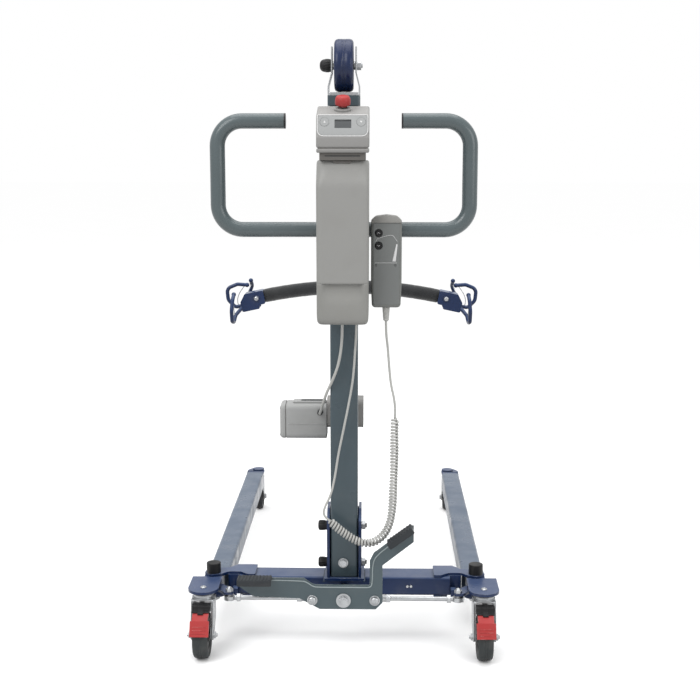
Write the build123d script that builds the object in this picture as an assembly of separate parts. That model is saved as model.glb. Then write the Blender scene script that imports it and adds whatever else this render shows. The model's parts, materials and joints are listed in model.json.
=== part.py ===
from build123d import *
import math
import os

# Mobile patient lift, millimetres.  +Z up, +X to the attendant's right, +Y towards the
# open end of the base.  Everything is built around the mast (X 0, Y 0) and moved by
# -CENTRE_Y when it is written, so the origin is under the middle of the overall box.
os.makedirs("parts", exist_ok=True)

# ---------------------------------------------------------------- driving dimensions
CENTRE_Y = 430.75

GAP = 0.05                 # radial running clearance of every pin and axle
MAST = 60.0                # square mast tube
MAST_WALL = 3.0
MAST_BASE_Z = 150.0
MAST_TOP_Z = 1178.0
MAST_FRONT = MAST / 2

BAR_Z = (100.0, 142.0)     # cross-bar, low and high
BAR_Y = (-12.0, 54.0)
BAR_END_X = 236.0
EAR_T = 6.0                # thickness of the cross-bar's end ears
LEG_X = 294.0              # leg pivots
LEG_PIN_R = 8.0
LEG_W = 50.0
LEG_Z = (78.0, 128.0)
LEG_Y = (48.0, 958.0)
LEG_TUBE_X = 291.0

REAR_STEM = (305.0, -96.0)
REAR_WHEEL_R = 50.0
REAR_WHEEL_W = 33.0
REAR_TRAIL = 31.0
REAR_PLATE_Z = (140.0, 146.0)
FRONT_STEM = (284.0, 988.0)
FRONT_WHEEL_R = 37.5
FRONT_WHEEL_W = 24.0
FRONT_TRAIL = 20.0
FRONT_PLATE_Z = (118.0, 124.0)

ROCKER_Z = 118.0           # height of the rocker's pivot, its pins and the tie rods
ROCKER_Y = (-94.0, -90.0)
ROCKER_PIN_X = 68.0
STUD_X = 250.0             # outer ends of the tie rods
ROD_Y = -80.0

HANDLE_R = 16.0
HANDLE_Y = -47.0
HANDLE_TOP_Z = 1146.5
HANDLE_LOW_Z = 920.6
HANDLE_SIDE_X = 264.5
HANDLE_TIP_X = 124.0
HANDLE_BEND = 52.0

BOX_FRONT = -150.0         # front of battery and control head
BATTERY_BACK = -72.0
BATTERY_Z = (731.0, 1066.0)
BATTERY_HALF = 54.0
HEAD_Z = 1082.0
PANEL_LOW = (BOX_FRONT, 1112.0)
PANEL_HIGH = (-136.0, 1158.0)
HEAD_BACK = (-70.0, 1176.0)
KEY_X = (-36.0, 38.0)
HANDSET_KEY_Z = (891.0, 917.0)
BRAKE_PIN = (-134.0, 114.0)
ESTOP_R = 15.5

BOOM_PIVOT = (75.0, 1130.0)
BOOM_END = (768.0, 815.0)
BOOM_W = 40.0
BOOM_H = 50.0
RAM_FOOT = (92.0, 440.0)   # lower pin of the actuator
RAM_EYE_ALONG = 200.0      # boom pin of the actuator, along and under the boom's axis
RAM_EYE_DROP = 60.0

BAR_MID_Z = 705.0          # spreader bar, middle and end of its arc
BAR_TIP = (240.0, 680.0)
BAR_R = 14.0
GRIP_R = 18.85
HEAD_TILT = 12.0
HOOK_R = 5.2
HOOK_TIP_R = 6.3
HEAD_LONG = 68.0          # hook bracket, along the bar
HEAD_HALF = 24.0          # half of its width

TOP_AXLE = (-4.0, 1261.5)
TOP_WHEEL_R = 54.5
TOP_WHEEL_W = 40.0

HANDSET_X = 90.0
HANDSET_Y = (-96.0, -68.0)
HANDSET_Z = (761.0, 954.0)

LEAD_R = 2.5
COIL_R = 9.5
CABLE_R = 3.0

nodes = {}


# ---------------------------------------------------------------- small shapes
def block(x, y, z):
    """Box from three (low, high) pairs."""
    size = [high - low for low, high in (x, y, z)]
    middle = [(high + low) / 2 for low, high in (x, y, z)]
    return Pos(*middle) * Box(*size)


def pin(start, end, radius):
    """Round bar between two points."""
    axis = Vector(*end) - Vector(*start)
    plane = Plane(origin=start, z_dir=axis)
    return plane * Cylinder(radius, axis.length, align=(Align.CENTER, Align.CENTER, Align.MIN))


def hexagon(start, end, radius):
    """Six-sided bar between two points, radius over its corners."""
    axis = Vector(*end) - Vector(*start)
    plane = Plane(origin=start, z_dir=axis)
    return extrude(plane * RegularPolygon(radius, 6), axis.length)


def ball(centre, radius):
    return Pos(*centre) * Sphere(radius)


def outline(points, bend=0.0):
    """Closed flat outline, with every corner rounded if bend is given."""
    face = make_face(Polyline(*points, close=True))
    if bend:
        face = fillet(face.vertices(), bend)
    return face


def plate_x(points, x, bend=0.0):
    """Plate from a (y, z) outline between two X values."""
    plane = Plane(origin=(x[0], 0, 0), x_dir=(0, 1, 0), z_dir=(1, 0, 0))
    return extrude(plane * outline(points, bend), x[1] - x[0])


def plate_y(points, y, bend=0.0):
    """Plate from an (x, z) outline between two Y values."""
    plane = Plane(origin=(0, y[1], 0), x_dir=(1, 0, 0), z_dir=(0, -1, 0))
    return extrude(plane * outline(points, bend), y[1] - y[0])


def plate_z(points, z, bend=0.0):
    """Plate from an (x, y) outline between two Z values."""
    plane = Plane(origin=(0, 0, z[0]))
    return extrude(plane * outline(points, bend), z[1] - z[0])


def tube_along(path, radius, bore=0.0):
    """Round tube along a path of lines and tangent arcs."""
    start = Plane(origin=path @ 0, z_dir=path % 0)
    shape = sweep(start * Circle(radius), path=path)
    if bore:
        shape -= sweep(start * Circle(bore), path=path)
    return shape


def mirrored(shape):
    return mirror(shape, about=Plane.YZ)


def group(*shapes):
    """Separate solids in one node."""
    return Compound([solid for shape in shapes for solid in shape.solids()])


def turned(shape, centre, degrees, axis=(1, 0, 0)):
    return shape.rotate(Axis(centre, axis), degrees)


# ---------------------------------------------------------------- base
def crossbar():
    tube = block((-BAR_END_X, BAR_END_X), BAR_Y, BAR_Z)
    tube = fillet(tube.edges().filter_by(Axis.X), 5)
    tube -= block((-BAR_END_X + 6, BAR_END_X - 6), (BAR_Y[0] + 4, BAR_Y[1] - 4),
                  (BAR_Z[0] + 4, BAR_Z[1] - 4))
    ear = [(200, BAR_Y[0]), (216, BAR_Y[0]), (234, 4), (262, 4), (276, -12), (LEG_X, -20),
           (LEG_X + 20, -2), (LEG_X + 18, 16), (LEG_X, 27), (262, 32), (244, BAR_Y[1]),
           (200, BAR_Y[1])]
    for low in (BAR_Z[1], BAR_Z[0] - EAR_T):
        for flip in (False, True):
            plate = plate_z(ear, (low, low + EAR_T), 3)
            plate -= pin((LEG_X, 0, low - 1), (LEG_X, 0, low + EAR_T + 1), LEG_PIN_R + GAP)
            tube += mirrored(plate) if flip else plate
    tube -= pin((0, BAR_Y[0] - 1, ROCKER_Z), (0, BAR_Y[0] + 8, ROCKER_Z), 6 + GAP)
    return tube


def mast_bracket():
    foot = block((-44, 44), (-38, 48), (BAR_Z[1], BAR_Z[1] + 6))
    side = [(-34, BAR_Z[1] + 6), (46, BAR_Z[1] + 6), (46, 300), (-6, 300), (-34, 278)]
    for x in ((-38, -32), (32, 38)):
        cheek = plate_x(side, x)
        for z in (174, 259):
            cheek -= pin((x[0] - 1, 0, z), (x[1] + 1, 0, z), 5 + GAP)
        foot += cheek
    foot += block((-32, 32), (40, 46), (BAR_Z[1] + 6, 290))
    return foot


def base_fasteners():
    pieces = []
    for z in (174, 259):
        nut = hexagon((38.1, 0, z), (47, 0, z), 9.5) - pin((38, 0, z), (48, 0, z), 5 + GAP)
        pieces.append(nut)
    pieces.append(pin((-2, -34, 182), (-2, -MAST_FRONT - GAP, 182), 11))
    pieces.append(hexagon((-2, -41, 182), (-2, -34 - GAP, 182), 9))
    for side in (-1, 1):
        top = BAR_Z[1] + EAR_T
        shank = pin((side * LEG_X, 0, BAR_Z[0] - EAR_T - 1), (side * LEG_X, 0, top + 6), LEG_PIN_R)
        head = pin((side * LEG_X, 0, top + GAP), (side * LEG_X, 0, top + 6), 13)
        foot = hexagon((side * LEG_X, 0, 86), (side * LEG_X, 0, BAR_Z[0] - EAR_T - GAP), 13)
        pieces.append(shank + head + foot)
        for x in (141, 149):
            pieces.append(pin((side * x, -15, 122), (side * x, BAR_Y[0] - GAP, 122), 3))
    return group(*pieces, rocker_bolt())


def plastic_caps():
    """Caps over the leg pivots and plugs in the push handle's two ends."""
    caps = []
    for side in (-1, 1):
        low = BAR_Z[1] + EAR_T
        cap = pin((side * LEG_X, 0, low + GAP), (side * LEG_X, 0, 171), 16)
        cap = fillet(cap.edges().group_by(Axis.Z)[-1], 2)
        cap -= pin((side * LEG_X, 0, low - 1), (side * LEG_X, 0, low + 7), 13 + GAP)
        caps.append(cap)
        tip = side * HANDLE_TIP_X
        at = (HANDLE_Y, HANDLE_TOP_Z)
        plug = pin((tip - side * 3, *at), (tip - side * GAP, *at), HANDLE_R)
        caps.append(plug + pin((tip - side, *at), (tip + side * 14, *at), HANDLE_R - 2 - GAP))
    return group(*caps)


def rocker_bolt():
    spacer = pin((0, ROCKER_Y[1] + GAP, ROCKER_Z), (0, BAR_Y[0] - GAP, ROCKER_Z), 9)
    shaft = pin((0, -106, ROCKER_Z), (0, BAR_Y[0] + 3, ROCKER_Z), 6)
    washer = pin((0, ROCKER_Y[0] - 2.5, ROCKER_Z), (0, ROCKER_Y[0] - GAP, ROCKER_Z), 16)
    nut = hexagon((0, -104, ROCKER_Z), (0, ROCKER_Y[0] - 2, ROCKER_Z), 11)
    return spacer + shaft + washer + nut


def leg():
    """Right leg with its pivot sleeve, rear caster arm, tie-rod lug and front plate."""
    x0 = LEG_TUBE_X - LEG_W / 2
    tube = block((x0, x0 + LEG_W), LEG_Y, LEG_Z)
    tube = fillet(tube.edges().filter_by(Axis.Y), 7)
    core = block((x0 + 3, x0 + LEG_W - 3), (LEG_Y[0] + 6, LEG_Y[1] - 6), (LEG_Z[0] + 3, LEG_Z[1] - 3))
    tube -= core
    knuckle = block((LEG_X - 20, LEG_X + 20), (-18, LEG_Y[0] + 4), (BAR_Z[0] + 0.3, BAR_Z[1] - 0.3))
    tail = block((LEG_X - 22, LEG_X + 22), (-63, -18), (124, BAR_Z[1] - 0.3))
    stem_x, stem_y = REAR_STEM
    arm = [(stem_x - 33, -24), (stem_x + 33, -24), (stem_x + 33, stem_y), (stem_x - 33, stem_y)]
    top = plate_z(arm, REAR_PLATE_Z)
    top += pin((stem_x, stem_y, REAR_PLATE_Z[0]), (stem_x, stem_y, REAR_PLATE_Z[1]), 33)
    top -= pin((LEG_X, 0, 139), (LEG_X, 0, 147), 28)
    lug = plate_z([(STUD_X - 8, -88), (STUD_X + 10, -88), (LEG_X - 12, -60), (LEG_X - 12, -34),
                   (LEG_X - 24, -34), (STUD_X - 8, -72)], (126.5, 132), 3)
    bend = plate_x([(-20, 141.7), (-20, 137), (-40, 141), (-40, 145.9), (-34, 145.9)],
                   (LEG_X - 21, LEG_X + 21))
    end = plate_z([(x0, 940), (x0 + LEG_W, 940), (x0 + LEG_W, 990), (x0 + LEG_W - 14, 1014),
                   (x0 + 14, 1014), (x0, 990)], FRONT_PLATE_Z, 5)
    front_x, front_y = FRONT_STEM
    cap = pin((front_x, front_y, FRONT_PLATE_Z[1]), (front_x, front_y, FRONT_PLATE_Z[1] + 5), 17)
    shape = tube + knuckle + tail + top + lug + bend + end + cap
    shape -= pin((LEG_X, 0, BAR_Z[0]), (LEG_X, 0, BAR_Z[1]), LEG_PIN_R + GAP)
    shape -= pin((stem_x, stem_y, 139), (stem_x, stem_y, 143), 6 + GAP)
    shape -= pin((front_x, front_y, 117), (front_x, front_y, 122), 5 + GAP)
    shape -= pin((STUD_X, ROD_Y, 126), (STUD_X, ROD_Y, 133), 5 + GAP)
    return shape


# ---------------------------------------------------------------- casters
def wheel(centre, radius, width, bore, edge):
    """Wheel on an X axle: crowned tread, dished sides, bored hub."""
    x, y, z = centre
    half = width / 2
    tyre = pin((x - half, y, z), (x + half, y, z), radius)
    tyre = fillet(tyre.edges(), edge)
    for side in (-1, 1):
        face = x + side * half
        ring = pin((face, y, z), (face - side * 3, y, z), radius * 0.72)
        ring -= pin((face, y, z), (face - side * 3, y, z), bore + 7)
        tyre -= ring
    return tyre - pin((x - half, y, z), (x + half, y, z), bore + GAP)


def caster_fork(stem, trail, axle_z, crown_z, inner, reach, stem_r, ring_r, top_z):
    """Pressed fork: crown, two tapered cheeks, race ring, stem and axle bolt."""
    x, y = stem
    axle_y = y + trail
    wall = 2.5
    outer = inner + wall
    crown = block((x - outer, x + outer), (y - reach, y + reach), (crown_z - 4, crown_z))
    crown = fillet(crown.edges().filter_by(Axis.Z), 6)
    away = math.copysign(1, trail)
    cheek = [(y - away * reach, crown_z), (y + away * reach, crown_z), (axle_y + away * 11, axle_z + 4),
             (axle_y + away * 6, axle_z - 9), (axle_y - away * 6, axle_z - 9),
             (y - away * reach * 0.8, axle_z + 26)]
    shape = crown
    for side in (-1, 1):
        low, high = sorted((x + side * inner, x + side * outer))
        leaf = plate_x(cheek, (low, high), 3)
        shape += leaf - pin((low - 1, axle_y, axle_z), (high + 1, axle_y, axle_z), 4 + GAP)
    race = pin((x, y, crown_z), (x, y, top_z - 4), ring_r)
    race = fillet(race.edges().group_by(Axis.Z)[-1], 3)
    neck = pin((x, y, top_z - 4), (x, y, top_z - GAP), ring_r - 6)
    stem_pin = pin((x, y, top_z - 1), (x, y, top_z + 2.5), stem_r)
    body = shape + race + neck + stem_pin
    axle = pin((x - outer - 4, axle_y, axle_z), (x + outer + 4, axle_y, axle_z), 4)
    head = hexagon((x - outer - 5, axle_y, axle_z), (x - outer - GAP, axle_y, axle_z), 7.5)
    nut = hexagon((x + outer + GAP, axle_y, axle_z), (x + outer + 5, axle_y, axle_z), 7.5)
    return group(body, axle + head + nut)


def rear_fork(side):
    stem = (side * REAR_STEM[0], REAR_STEM[1])
    return caster_fork(stem, -REAR_TRAIL, REAR_WHEEL_R, 126, 18.5, 22, 6, 22, REAR_PLATE_Z[0])


def front_fork(side):
    stem = (side * FRONT_STEM[0], FRONT_STEM[1])
    return caster_fork(stem, FRONT_TRAIL, FRONT_WHEEL_R, 104, 14, 17, 5, 15, FRONT_PLATE_Z[0])


def rear_wheel(side):
    centre = (side * REAR_STEM[0], REAR_STEM[1] - REAR_TRAIL, REAR_WHEEL_R)
    return wheel(centre, REAR_WHEEL_R, REAR_WHEEL_W, 4, 6)


def front_wheel(side):
    centre = (side * FRONT_STEM[0], FRONT_STEM[1] + FRONT_TRAIL, FRONT_WHEEL_R)
    return wheel(centre, FRONT_WHEEL_R, FRONT_WHEEL_W, 4, 5)


def brake_pedal(side):
    """Foot brake hinged between the rear of the fork's cheeks."""
    x = side * REAR_STEM[0]
    profile = [(-130, 118), (-127, 112), (-137, 104), (-161, 93), (-178.5, 67), (-184, 67),
               (-168, 97), (-148, 106.5), (-139, 108.5), (-136.5, 113), (-135, 118)]
    blade = plate_x(profile, (x - 17, x + 17))
    flare = plate_x([(-161, 93), (-178.5, 67), (-184, 67), (-168, 97)], (x - 20.5, x + 20.5))
    return blade + flare + pin((x - 17, *BRAKE_PIN), (x + 17, *BRAKE_PIN), 3)


# ---------------------------------------------------------------- leg spreading gear
def rocker_pedal():
    """Flat rocker with a high right arm, a low left arm and a folded tread on each."""
    plate = plate_y([(-52, 98), (70, 98), (85, 113), (85, 198), (152, 251), (152, 290),
                     (100, 252), (66, 226), (57, 208), (57, 153), (-62, 153), (-71, 157),
                     (-86, 168), (-226, 168), (-230, 150), (-197, 126), (-96, 122)], ROCKER_Y, 2)
    slope = math.degrees(math.atan2(290 - 252, 152 - 100))
    for centre, angle, width in (((-192, 166), 0, 70), ((124, 267.5), slope, 62)):
        x, z = centre
        tread = block((x - width / 2, x + width / 2), (-124, ROCKER_Y[1]), (z - 2, z + 2))
        plate += turned(tread, (x, 0, z), -angle, (0, 1, 0))
    plate -= pin((0, -95, ROCKER_Z), (0, -89, ROCKER_Z), 6 + GAP)
    for side in (-1, 1):
        x = side * ROCKER_PIN_X
        plate += pin((x, -98, ROCKER_Z), (x, ROCKER_Y[1] + 2, ROCKER_Z), 8)
    return plate


def pedal_pads():
    """Rubber treads laid on the rocker's two folded flanges."""
    slope = math.degrees(math.atan2(290 - 252, 152 - 100))
    pads = []
    for centre, angle, width in (((-192, 166), 0, 74), ((124, 267.5), slope, 64)):
        x, z = centre
        pad = block((x - width / 2, x + width / 2), (-129, ROCKER_Y[0] - 0.2), (z - 6, z + 8))
        pad = fillet(pad.edges(), 2)
        pad -= block((x - width / 2 - 1, x + width / 2 + 1), (-124.1, ROCKER_Y[0]), (z - 7, z + 2.1))
        pads.append(turned(pad, (x, 0, z), -angle, (0, 1, 0)))
    return group(*pads)


def tie_rod(side):
    """Threaded rod with a plain eye at the rocker and a ball socket at the leg."""
    inner = side * ROCKER_PIN_X
    outer = side * STUD_X
    rod = pin((inner, ROD_Y, ROCKER_Z), (outer - side * 9, ROD_Y, ROCKER_Z), 5)
    rod += pin((inner, ROD_Y - 5, ROCKER_Z), (inner, ROD_Y + 5, ROCKER_Z), 9)
    rod += hexagon((inner + side * 24, ROD_Y, ROCKER_Z), (inner + side * 34, ROD_Y, ROCKER_Z), 9)
    rod += pin((inner + side * 8, ROD_Y, ROCKER_Z), (inner + side * 24, ROD_Y, ROCKER_Z), 7.5)
    rod += hexagon((outer - side * 24, ROD_Y, ROCKER_Z), (outer - side * 16, ROD_Y, ROCKER_Z), 9)
    rod += pin((outer, ROD_Y, ROCKER_Z - 4.5), (outer, ROD_Y, ROCKER_Z + 4.5), 12)
    return rod - ball((outer, ROD_Y, ROCKER_Z), 8 + GAP)


def ball_stud(side):
    x = side * STUD_X
    stud = ball((x, ROD_Y, ROCKER_Z), 8)
    stud += pin((x, ROD_Y, ROCKER_Z), (x, ROD_Y, 139), 5)
    stud -= block((x - 9, x + 9), (ROD_Y - 9, ROD_Y + 9), (ROCKER_Z - 9, ROCKER_Z - 6))
    nut = hexagon((x, ROD_Y, 132.1), (x, ROD_Y, 138), 8.5)
    return stud + nut + ball((x, ROD_Y, 137), 6)


# ---------------------------------------------------------------- mast
def mast_tube():
    half = MAST / 2
    tube = block((-half, half), (-half, half), (MAST_BASE_Z, MAST_TOP_Z))
    tube = fillet(tube.edges().filter_by(Axis.Z), 5)
    inner = half - MAST_WALL
    tube -= block((-inner, inner), (-inner, inner), (MAST_BASE_Z, MAST_TOP_Z))
    for z in (174, 259):
        tube -= pin((-40, 0, z), (40, 0, z), 5 + GAP)
    foot_y, foot_z = RAM_FOOT
    ear = [(half, foot_z - 34), (foot_y - 8, foot_z - 16), (foot_y + 14, foot_z - 14),
           (foot_y + 14, foot_z + 14), (half, foot_z + 24)]
    for x in ((-22, -16), (16, 22)):
        lug = plate_x(ear, x)
        lug -= pin((x[0] - 1, foot_y, foot_z), (x[1] + 1, foot_y, foot_z), 6 + GAP)
        tube += lug
    return tube


def mast_head():
    """Crown plate and boom ears that cap the mast."""
    crown = block((-34, 34), (-38, 44), (MAST_TOP_Z, 1199))
    crown = fillet(crown.edges().filter_by(Axis.Z), 6)
    y, z = BOOM_PIVOT
    ear = [(MAST_FRONT + GAP, 1060), (y + 10, z - 34), (y + 28, z - 12), (y + 28, z + 16),
           (y + 8, z + 34), (44, MAST_TOP_Z), (44, 1199), (MAST_FRONT + GAP, 1199)]
    for x in ((-31, -23), (23, 31)):
        cheek = plate_x(ear, x)
        crown += cheek - pin((x[0] - 1, y, z), (x[1] + 1, y, z), 10 + GAP)
    crown -= pin((0, TOP_AXLE[0], 1190), (0, TOP_AXLE[0], 1200), 10 + GAP)
    return crown


def handle_bar():
    s, tip, high, low = HANDLE_SIDE_X, HANDLE_TIP_X, HANDLE_TOP_Z, HANDLE_LOW_Z
    points = [(-tip, high), (-s, high), (-s, low), (s, low), (s, high), (tip, high)]
    path = FilletPolyline(*[(x, HANDLE_Y, z) for x, z in points], radius=HANDLE_BEND)
    return tube_along(path, HANDLE_R, HANDLE_R - 2)


def handle_clamp():
    body = block((-37, 37), (-65, -MAST_FRONT - GAP), (HANDLE_LOW_Z - 23, HANDLE_LOW_Z + 23))
    body = fillet(body.edges().filter_by(Axis.X), 4)
    return body - pin((-40, HANDLE_Y, HANDLE_LOW_Z), (40, HANDLE_Y, HANDLE_LOW_Z), HANDLE_R + GAP)


def mast_knob(z):
    knob = pin((-58, 0, z), (-38.2, 0, z), 10.5)
    knob = fillet(knob.edges().group_by(Axis.X)[0], 4)
    return knob + pin((-38.3, 0, z), (50, 0, z), 5)


def top_fork():
    """Inverted fork that carries the transport wheel above the mast."""
    y, z = TOP_AXLE
    crown = block((-34, 34), (y - 24, y + 24), (1199.1, 1206))
    crown = fillet(crown.edges().filter_by(Axis.Z), 6)
    cheek = [(y - 24, 1199.1), (y + 24, 1199.1), (y + 20, 1232), (y + 15, 1300), (y - 15, 1300),
             (y - 20, 1232)]
    shape = crown
    for side in (-1, 1):
        profile = [(side * 34, 1199.1), (side * 34, 1218), (side * 27, 1246), (side * 27, 1300),
                   (side * 24, 1300), (side * 24, 1246), (side * 31, 1218), (side * 31, 1199.1)]
        leaf = plate_y(profile, (y - 26, y + 26))
        shape += leaf & plate_x(cheek, (-36, 36))
    shape += pin((0, y, 1191), (0, y, 1206.5), 10)
    return shape - pin((-40, y, z), (40, y, z), 5 + GAP)


def top_wheel():
    return wheel((0, *TOP_AXLE), TOP_WHEEL_R, TOP_WHEEL_W, 5, 7)


def top_axle():
    """Axle bolt of the transport wheel with its spacers and nut."""
    y, z = TOP_AXLE
    nut = hexagon((27.1, y, z), (36, y, z), 9.5)
    spacer = pin((20.3, y, z), (23.9, y, z), 9) + pin((-23.9, y, z), (-20.3, y, z), 9)
    return pin((-27, y, z), (39, y, z), 5) + nut + spacer


def top_knob():
    y, z = TOP_AXLE
    knob = pin((-51, y, z), (-27.2, y, z), 13)
    return fillet(knob.edges().group_by(Axis.X)[0], 10)


# ---------------------------------------------------------------- controls
def control_mount():
    """Moulded back box that takes the battery, notched round the handle clamp."""
    back = block((-46, 46), (BATTERY_BACK + 0.3, -66), (752, HEAD_Z - 0.1))
    for z in ((752, HANDLE_LOW_Z - 25), (HANDLE_LOW_Z + 25, HEAD_Z - 0.1)):
        back += block((-46, 46), (-66.5, -MAST_FRONT - 0.2), z)
    return back


def battery_pack():
    low, high = BATTERY_Z
    profile = [(BATTERY_BACK, low), (-134, low + 2), (BOX_FRONT + 2, low + 14), (BOX_FRONT, 802),
               (-142, 817), (-142, 1028), (-126, high), (BATTERY_BACK, high)]
    pack = plate_x(profile, (-BATTERY_HALF, BATTERY_HALF))
    taper = plate_y([(-BATTERY_HALF + 2, low - 1), (BATTERY_HALF - 2, low - 1),
                     (BATTERY_HALF, high + 1), (-BATTERY_HALF, high + 1)], (-160, -70))
    return pack & taper


def control_head():
    """Control housing: dark skirt, sloped panel and sloped roof with the stop button."""
    profile = [(-MAST_FRONT - 4, HEAD_Z), (BOX_FRONT, HEAD_Z), PANEL_LOW, PANEL_HIGH, HEAD_BACK,
               (-MAST_FRONT - 4, HEAD_BACK[1])]
    head = plate_x(profile, (-53, 54), 4)
    skirt = block((-47, 47), (-140, BATTERY_BACK), (BATTERY_Z[1] + 0.3, HEAD_Z + 1))
    head += skirt
    for x in KEY_X:
        head -= panel_pin(x, 9, 1, -8)
    head -= lcd_recess()
    head -= estop_pin(9 + GAP, 1, -14)
    return head


PANEL_SLOPE = math.atan2(PANEL_HIGH[1] - PANEL_LOW[1], PANEL_HIGH[0] - PANEL_LOW[0])
PANEL_OUT = (0, -math.sin(PANEL_SLOPE), math.cos(PANEL_SLOPE))
ROOF_SLOPE = math.atan2(HEAD_BACK[1] - PANEL_HIGH[1], HEAD_BACK[0] - PANEL_HIGH[0])
ROOF_OUT = (0, -math.sin(ROOF_SLOPE), math.cos(ROOF_SLOPE))


def panel_point(x, share, out=0.0):
    """Point on the sloped panel, share of the way up it, lifted out of it."""
    y = PANEL_LOW[0] + share * (PANEL_HIGH[0] - PANEL_LOW[0])
    z = PANEL_LOW[1] + share * (PANEL_HIGH[1] - PANEL_LOW[1])
    return (x, y + out * PANEL_OUT[1], z + out * PANEL_OUT[2])


def panel_pin(x, radius, outer, inner, share=0.68):
    return pin(panel_point(x, share, inner), panel_point(x, share, outer), radius)


def lcd_plate(width, height, outer, inner):
    plane = Plane(origin=panel_point(1, 0.6, inner), x_dir=(1, 0, 0), z_dir=PANEL_OUT)
    return extrude(plane * Rectangle(width, height), outer - inner)


def lcd_recess():
    return lcd_plate(34, 18, 1, -3)


def roof_point(out):
    y = PANEL_HIGH[0] + 0.5 * (HEAD_BACK[0] - PANEL_HIGH[0])
    z = PANEL_HIGH[1] + 0.5 * (HEAD_BACK[1] - PANEL_HIGH[1])
    return (0, y + out * ROOF_OUT[1], z + out * ROOF_OUT[2])


def estop_pin(radius, outer, inner):
    return pin(roof_point(inner), roof_point(outer), radius)


def estop_collar():
    return estop_pin(17, 5, GAP) - estop_pin(9 + GAP, 6, -1)


def estop_button():
    cap = estop_pin(ESTOP_R, 30, 10)
    cap = fillet(cap.edges().group_by(Axis.Z)[-1], 3)
    return cap + estop_pin(9, 11, -8)


# ---------------------------------------------------------------- boom and actuator
BOOM_ANGLE = math.atan2(BOOM_END[1] - BOOM_PIVOT[1], BOOM_END[0] - BOOM_PIVOT[0])
BOOM_LENGTH = math.hypot(BOOM_END[1] - BOOM_PIVOT[1], BOOM_END[0] - BOOM_PIVOT[0])


def on_boom(along, up):
    """(y, z) of a point along the boom's axis and above it."""
    c, s = math.cos(BOOM_ANGLE), math.sin(BOOM_ANGLE)
    return (BOOM_PIVOT[0] + along * c - up * s, BOOM_PIVOT[1] + along * s + up * c)


RAM_EYE = on_boom(RAM_EYE_ALONG, -RAM_EYE_DROP)
RAM_ANGLE = math.atan2(RAM_EYE[1] - RAM_FOOT[1], RAM_EYE[0] - RAM_FOOT[0])
RAM_LENGTH = math.hypot(RAM_EYE[1] - RAM_FOOT[1], RAM_EYE[0] - RAM_FOOT[0])


def on_ram(along, across=0.0, x=0.0):
    c, s = math.cos(RAM_ANGLE), math.sin(RAM_ANGLE)
    return (x, RAM_FOOT[0] + along * c - across * s, RAM_FOOT[1] + along * s + across * c)


def boom():
    half, side = BOOM_W / 2, BOOM_H / 2
    ends = [on_boom(0, side), on_boom(0, -side), on_boom(BOOM_LENGTH, -side), on_boom(BOOM_LENGTH, side)]
    beam = plate_x(ends, (-half, half))
    for y, z in (BOOM_PIVOT, BOOM_END):
        beam += pin((-half, y, z), (half, y, z), side)
    wall = 4
    core = [on_boom(32, side - wall), on_boom(32, wall - side), on_boom(BOOM_LENGTH - 32, wall - side),
            on_boom(BOOM_LENGTH - 32, side - wall)]
    beam -= plate_x(core, (-half + wall, half - wall))
    along, drop = RAM_EYE_ALONG, RAM_EYE_DROP
    ear = [on_boom(along - 52, -side + 1), on_boom(along - 17, -drop - 17), on_boom(along + 17, -drop - 17),
           on_boom(along + 52, -side + 1)]
    for x in (-1, 1):
        low, high = sorted((x * 14, x * half))
        beam += plate_x(ear, (low, high), 2)
        beam += hexagon((x * half, *RAM_EYE), (x * (half + 8), *RAM_EYE), 9)
    beam -= pin((-30, *BOOM_PIVOT), (30, *BOOM_PIVOT), 10 + GAP)
    beam -= pin((-30, *BOOM_END), (30, *BOOM_END), 8 + GAP)
    return beam


def pivot_bolts():
    """Boom pivot bolt and the actuator's foot pin, both held by the mast."""
    bolt = pin((-34, *BOOM_PIVOT), (34, *BOOM_PIVOT), 10)
    bolt += hexagon((-42, *BOOM_PIVOT), (-31.1, *BOOM_PIVOT), 15)
    bolt += hexagon((31.1, *BOOM_PIVOT), (42, *BOOM_PIVOT), 15)
    foot = pin((-28, *RAM_FOOT), (28, *RAM_FOOT), 6)
    foot += pin((-28, *RAM_FOOT), (-22.1, *RAM_FOOT), 9) + pin((22.1, *RAM_FOOT), (28, *RAM_FOOT), 9)
    return group(bolt, foot)


def actuator_body():
    """Foot eye, gear housing and outer tube of the linear actuator."""
    foot = pin(on_ram(0, 0, -12), on_ram(0, 0, 12), 14)
    foot += pin(on_ram(6), on_ram(28), 12)
    gear = block((-41, 41), (64, 132), (466, 530))
    gear = fillet(gear.edges().filter_by(Axis.X), 12)
    tube = pin(on_ram(60), on_ram(388), 24)
    collar = pin(on_ram(372), on_ram(394), 27)
    shape = foot + gear + tube + collar
    shape -= pin(on_ram(0, 0, -13), on_ram(0, 0, 13), 6 + GAP)
    return shape - pin(on_ram(110), on_ram(396), 12 + 3 * GAP)


def actuator_motor():
    """Motor housing on the actuator's left with its cable gland."""
    y, z = (60, 124), (441, 520)
    motor = block((-147, -41 - GAP), y, z)
    motor = fillet(motor.edges().filter_by(Axis.X), 12)
    gland = pin((-56, 60.5, 505), (-56, 42, 505), 5.5)
    return motor + gland


def actuator_rod():
    rod = pin(on_ram(150), on_ram(RAM_LENGTH - 10), 12)
    eye = pin((-12, *RAM_EYE), (12, *RAM_EYE), 14)
    return rod + eye


# ---------------------------------------------------------------- hanger and spreader
def hanger():
    """Yoke under the boom's end that carries the spreader's swivel."""
    y, z = BOOM_END
    yoke = block((-27, 27), (y - 19, y + 19), (744, 760))
    cheek = [(y - 19, 744), (y + 19, 744), (y + 19, z + 6), (y + 10, z + 19), (y - 10, z + 19),
             (y - 19, z + 6)]
    for x in ((-27, -21), (21, 27)):
        yoke += plate_x(cheek, x) - pin((x[0] - 1, y, z), (x[1] + 1, y, z), 8 + GAP)
    return yoke - pin((0, y, 743), (0, y, 761), 10 + GAP)


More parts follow.
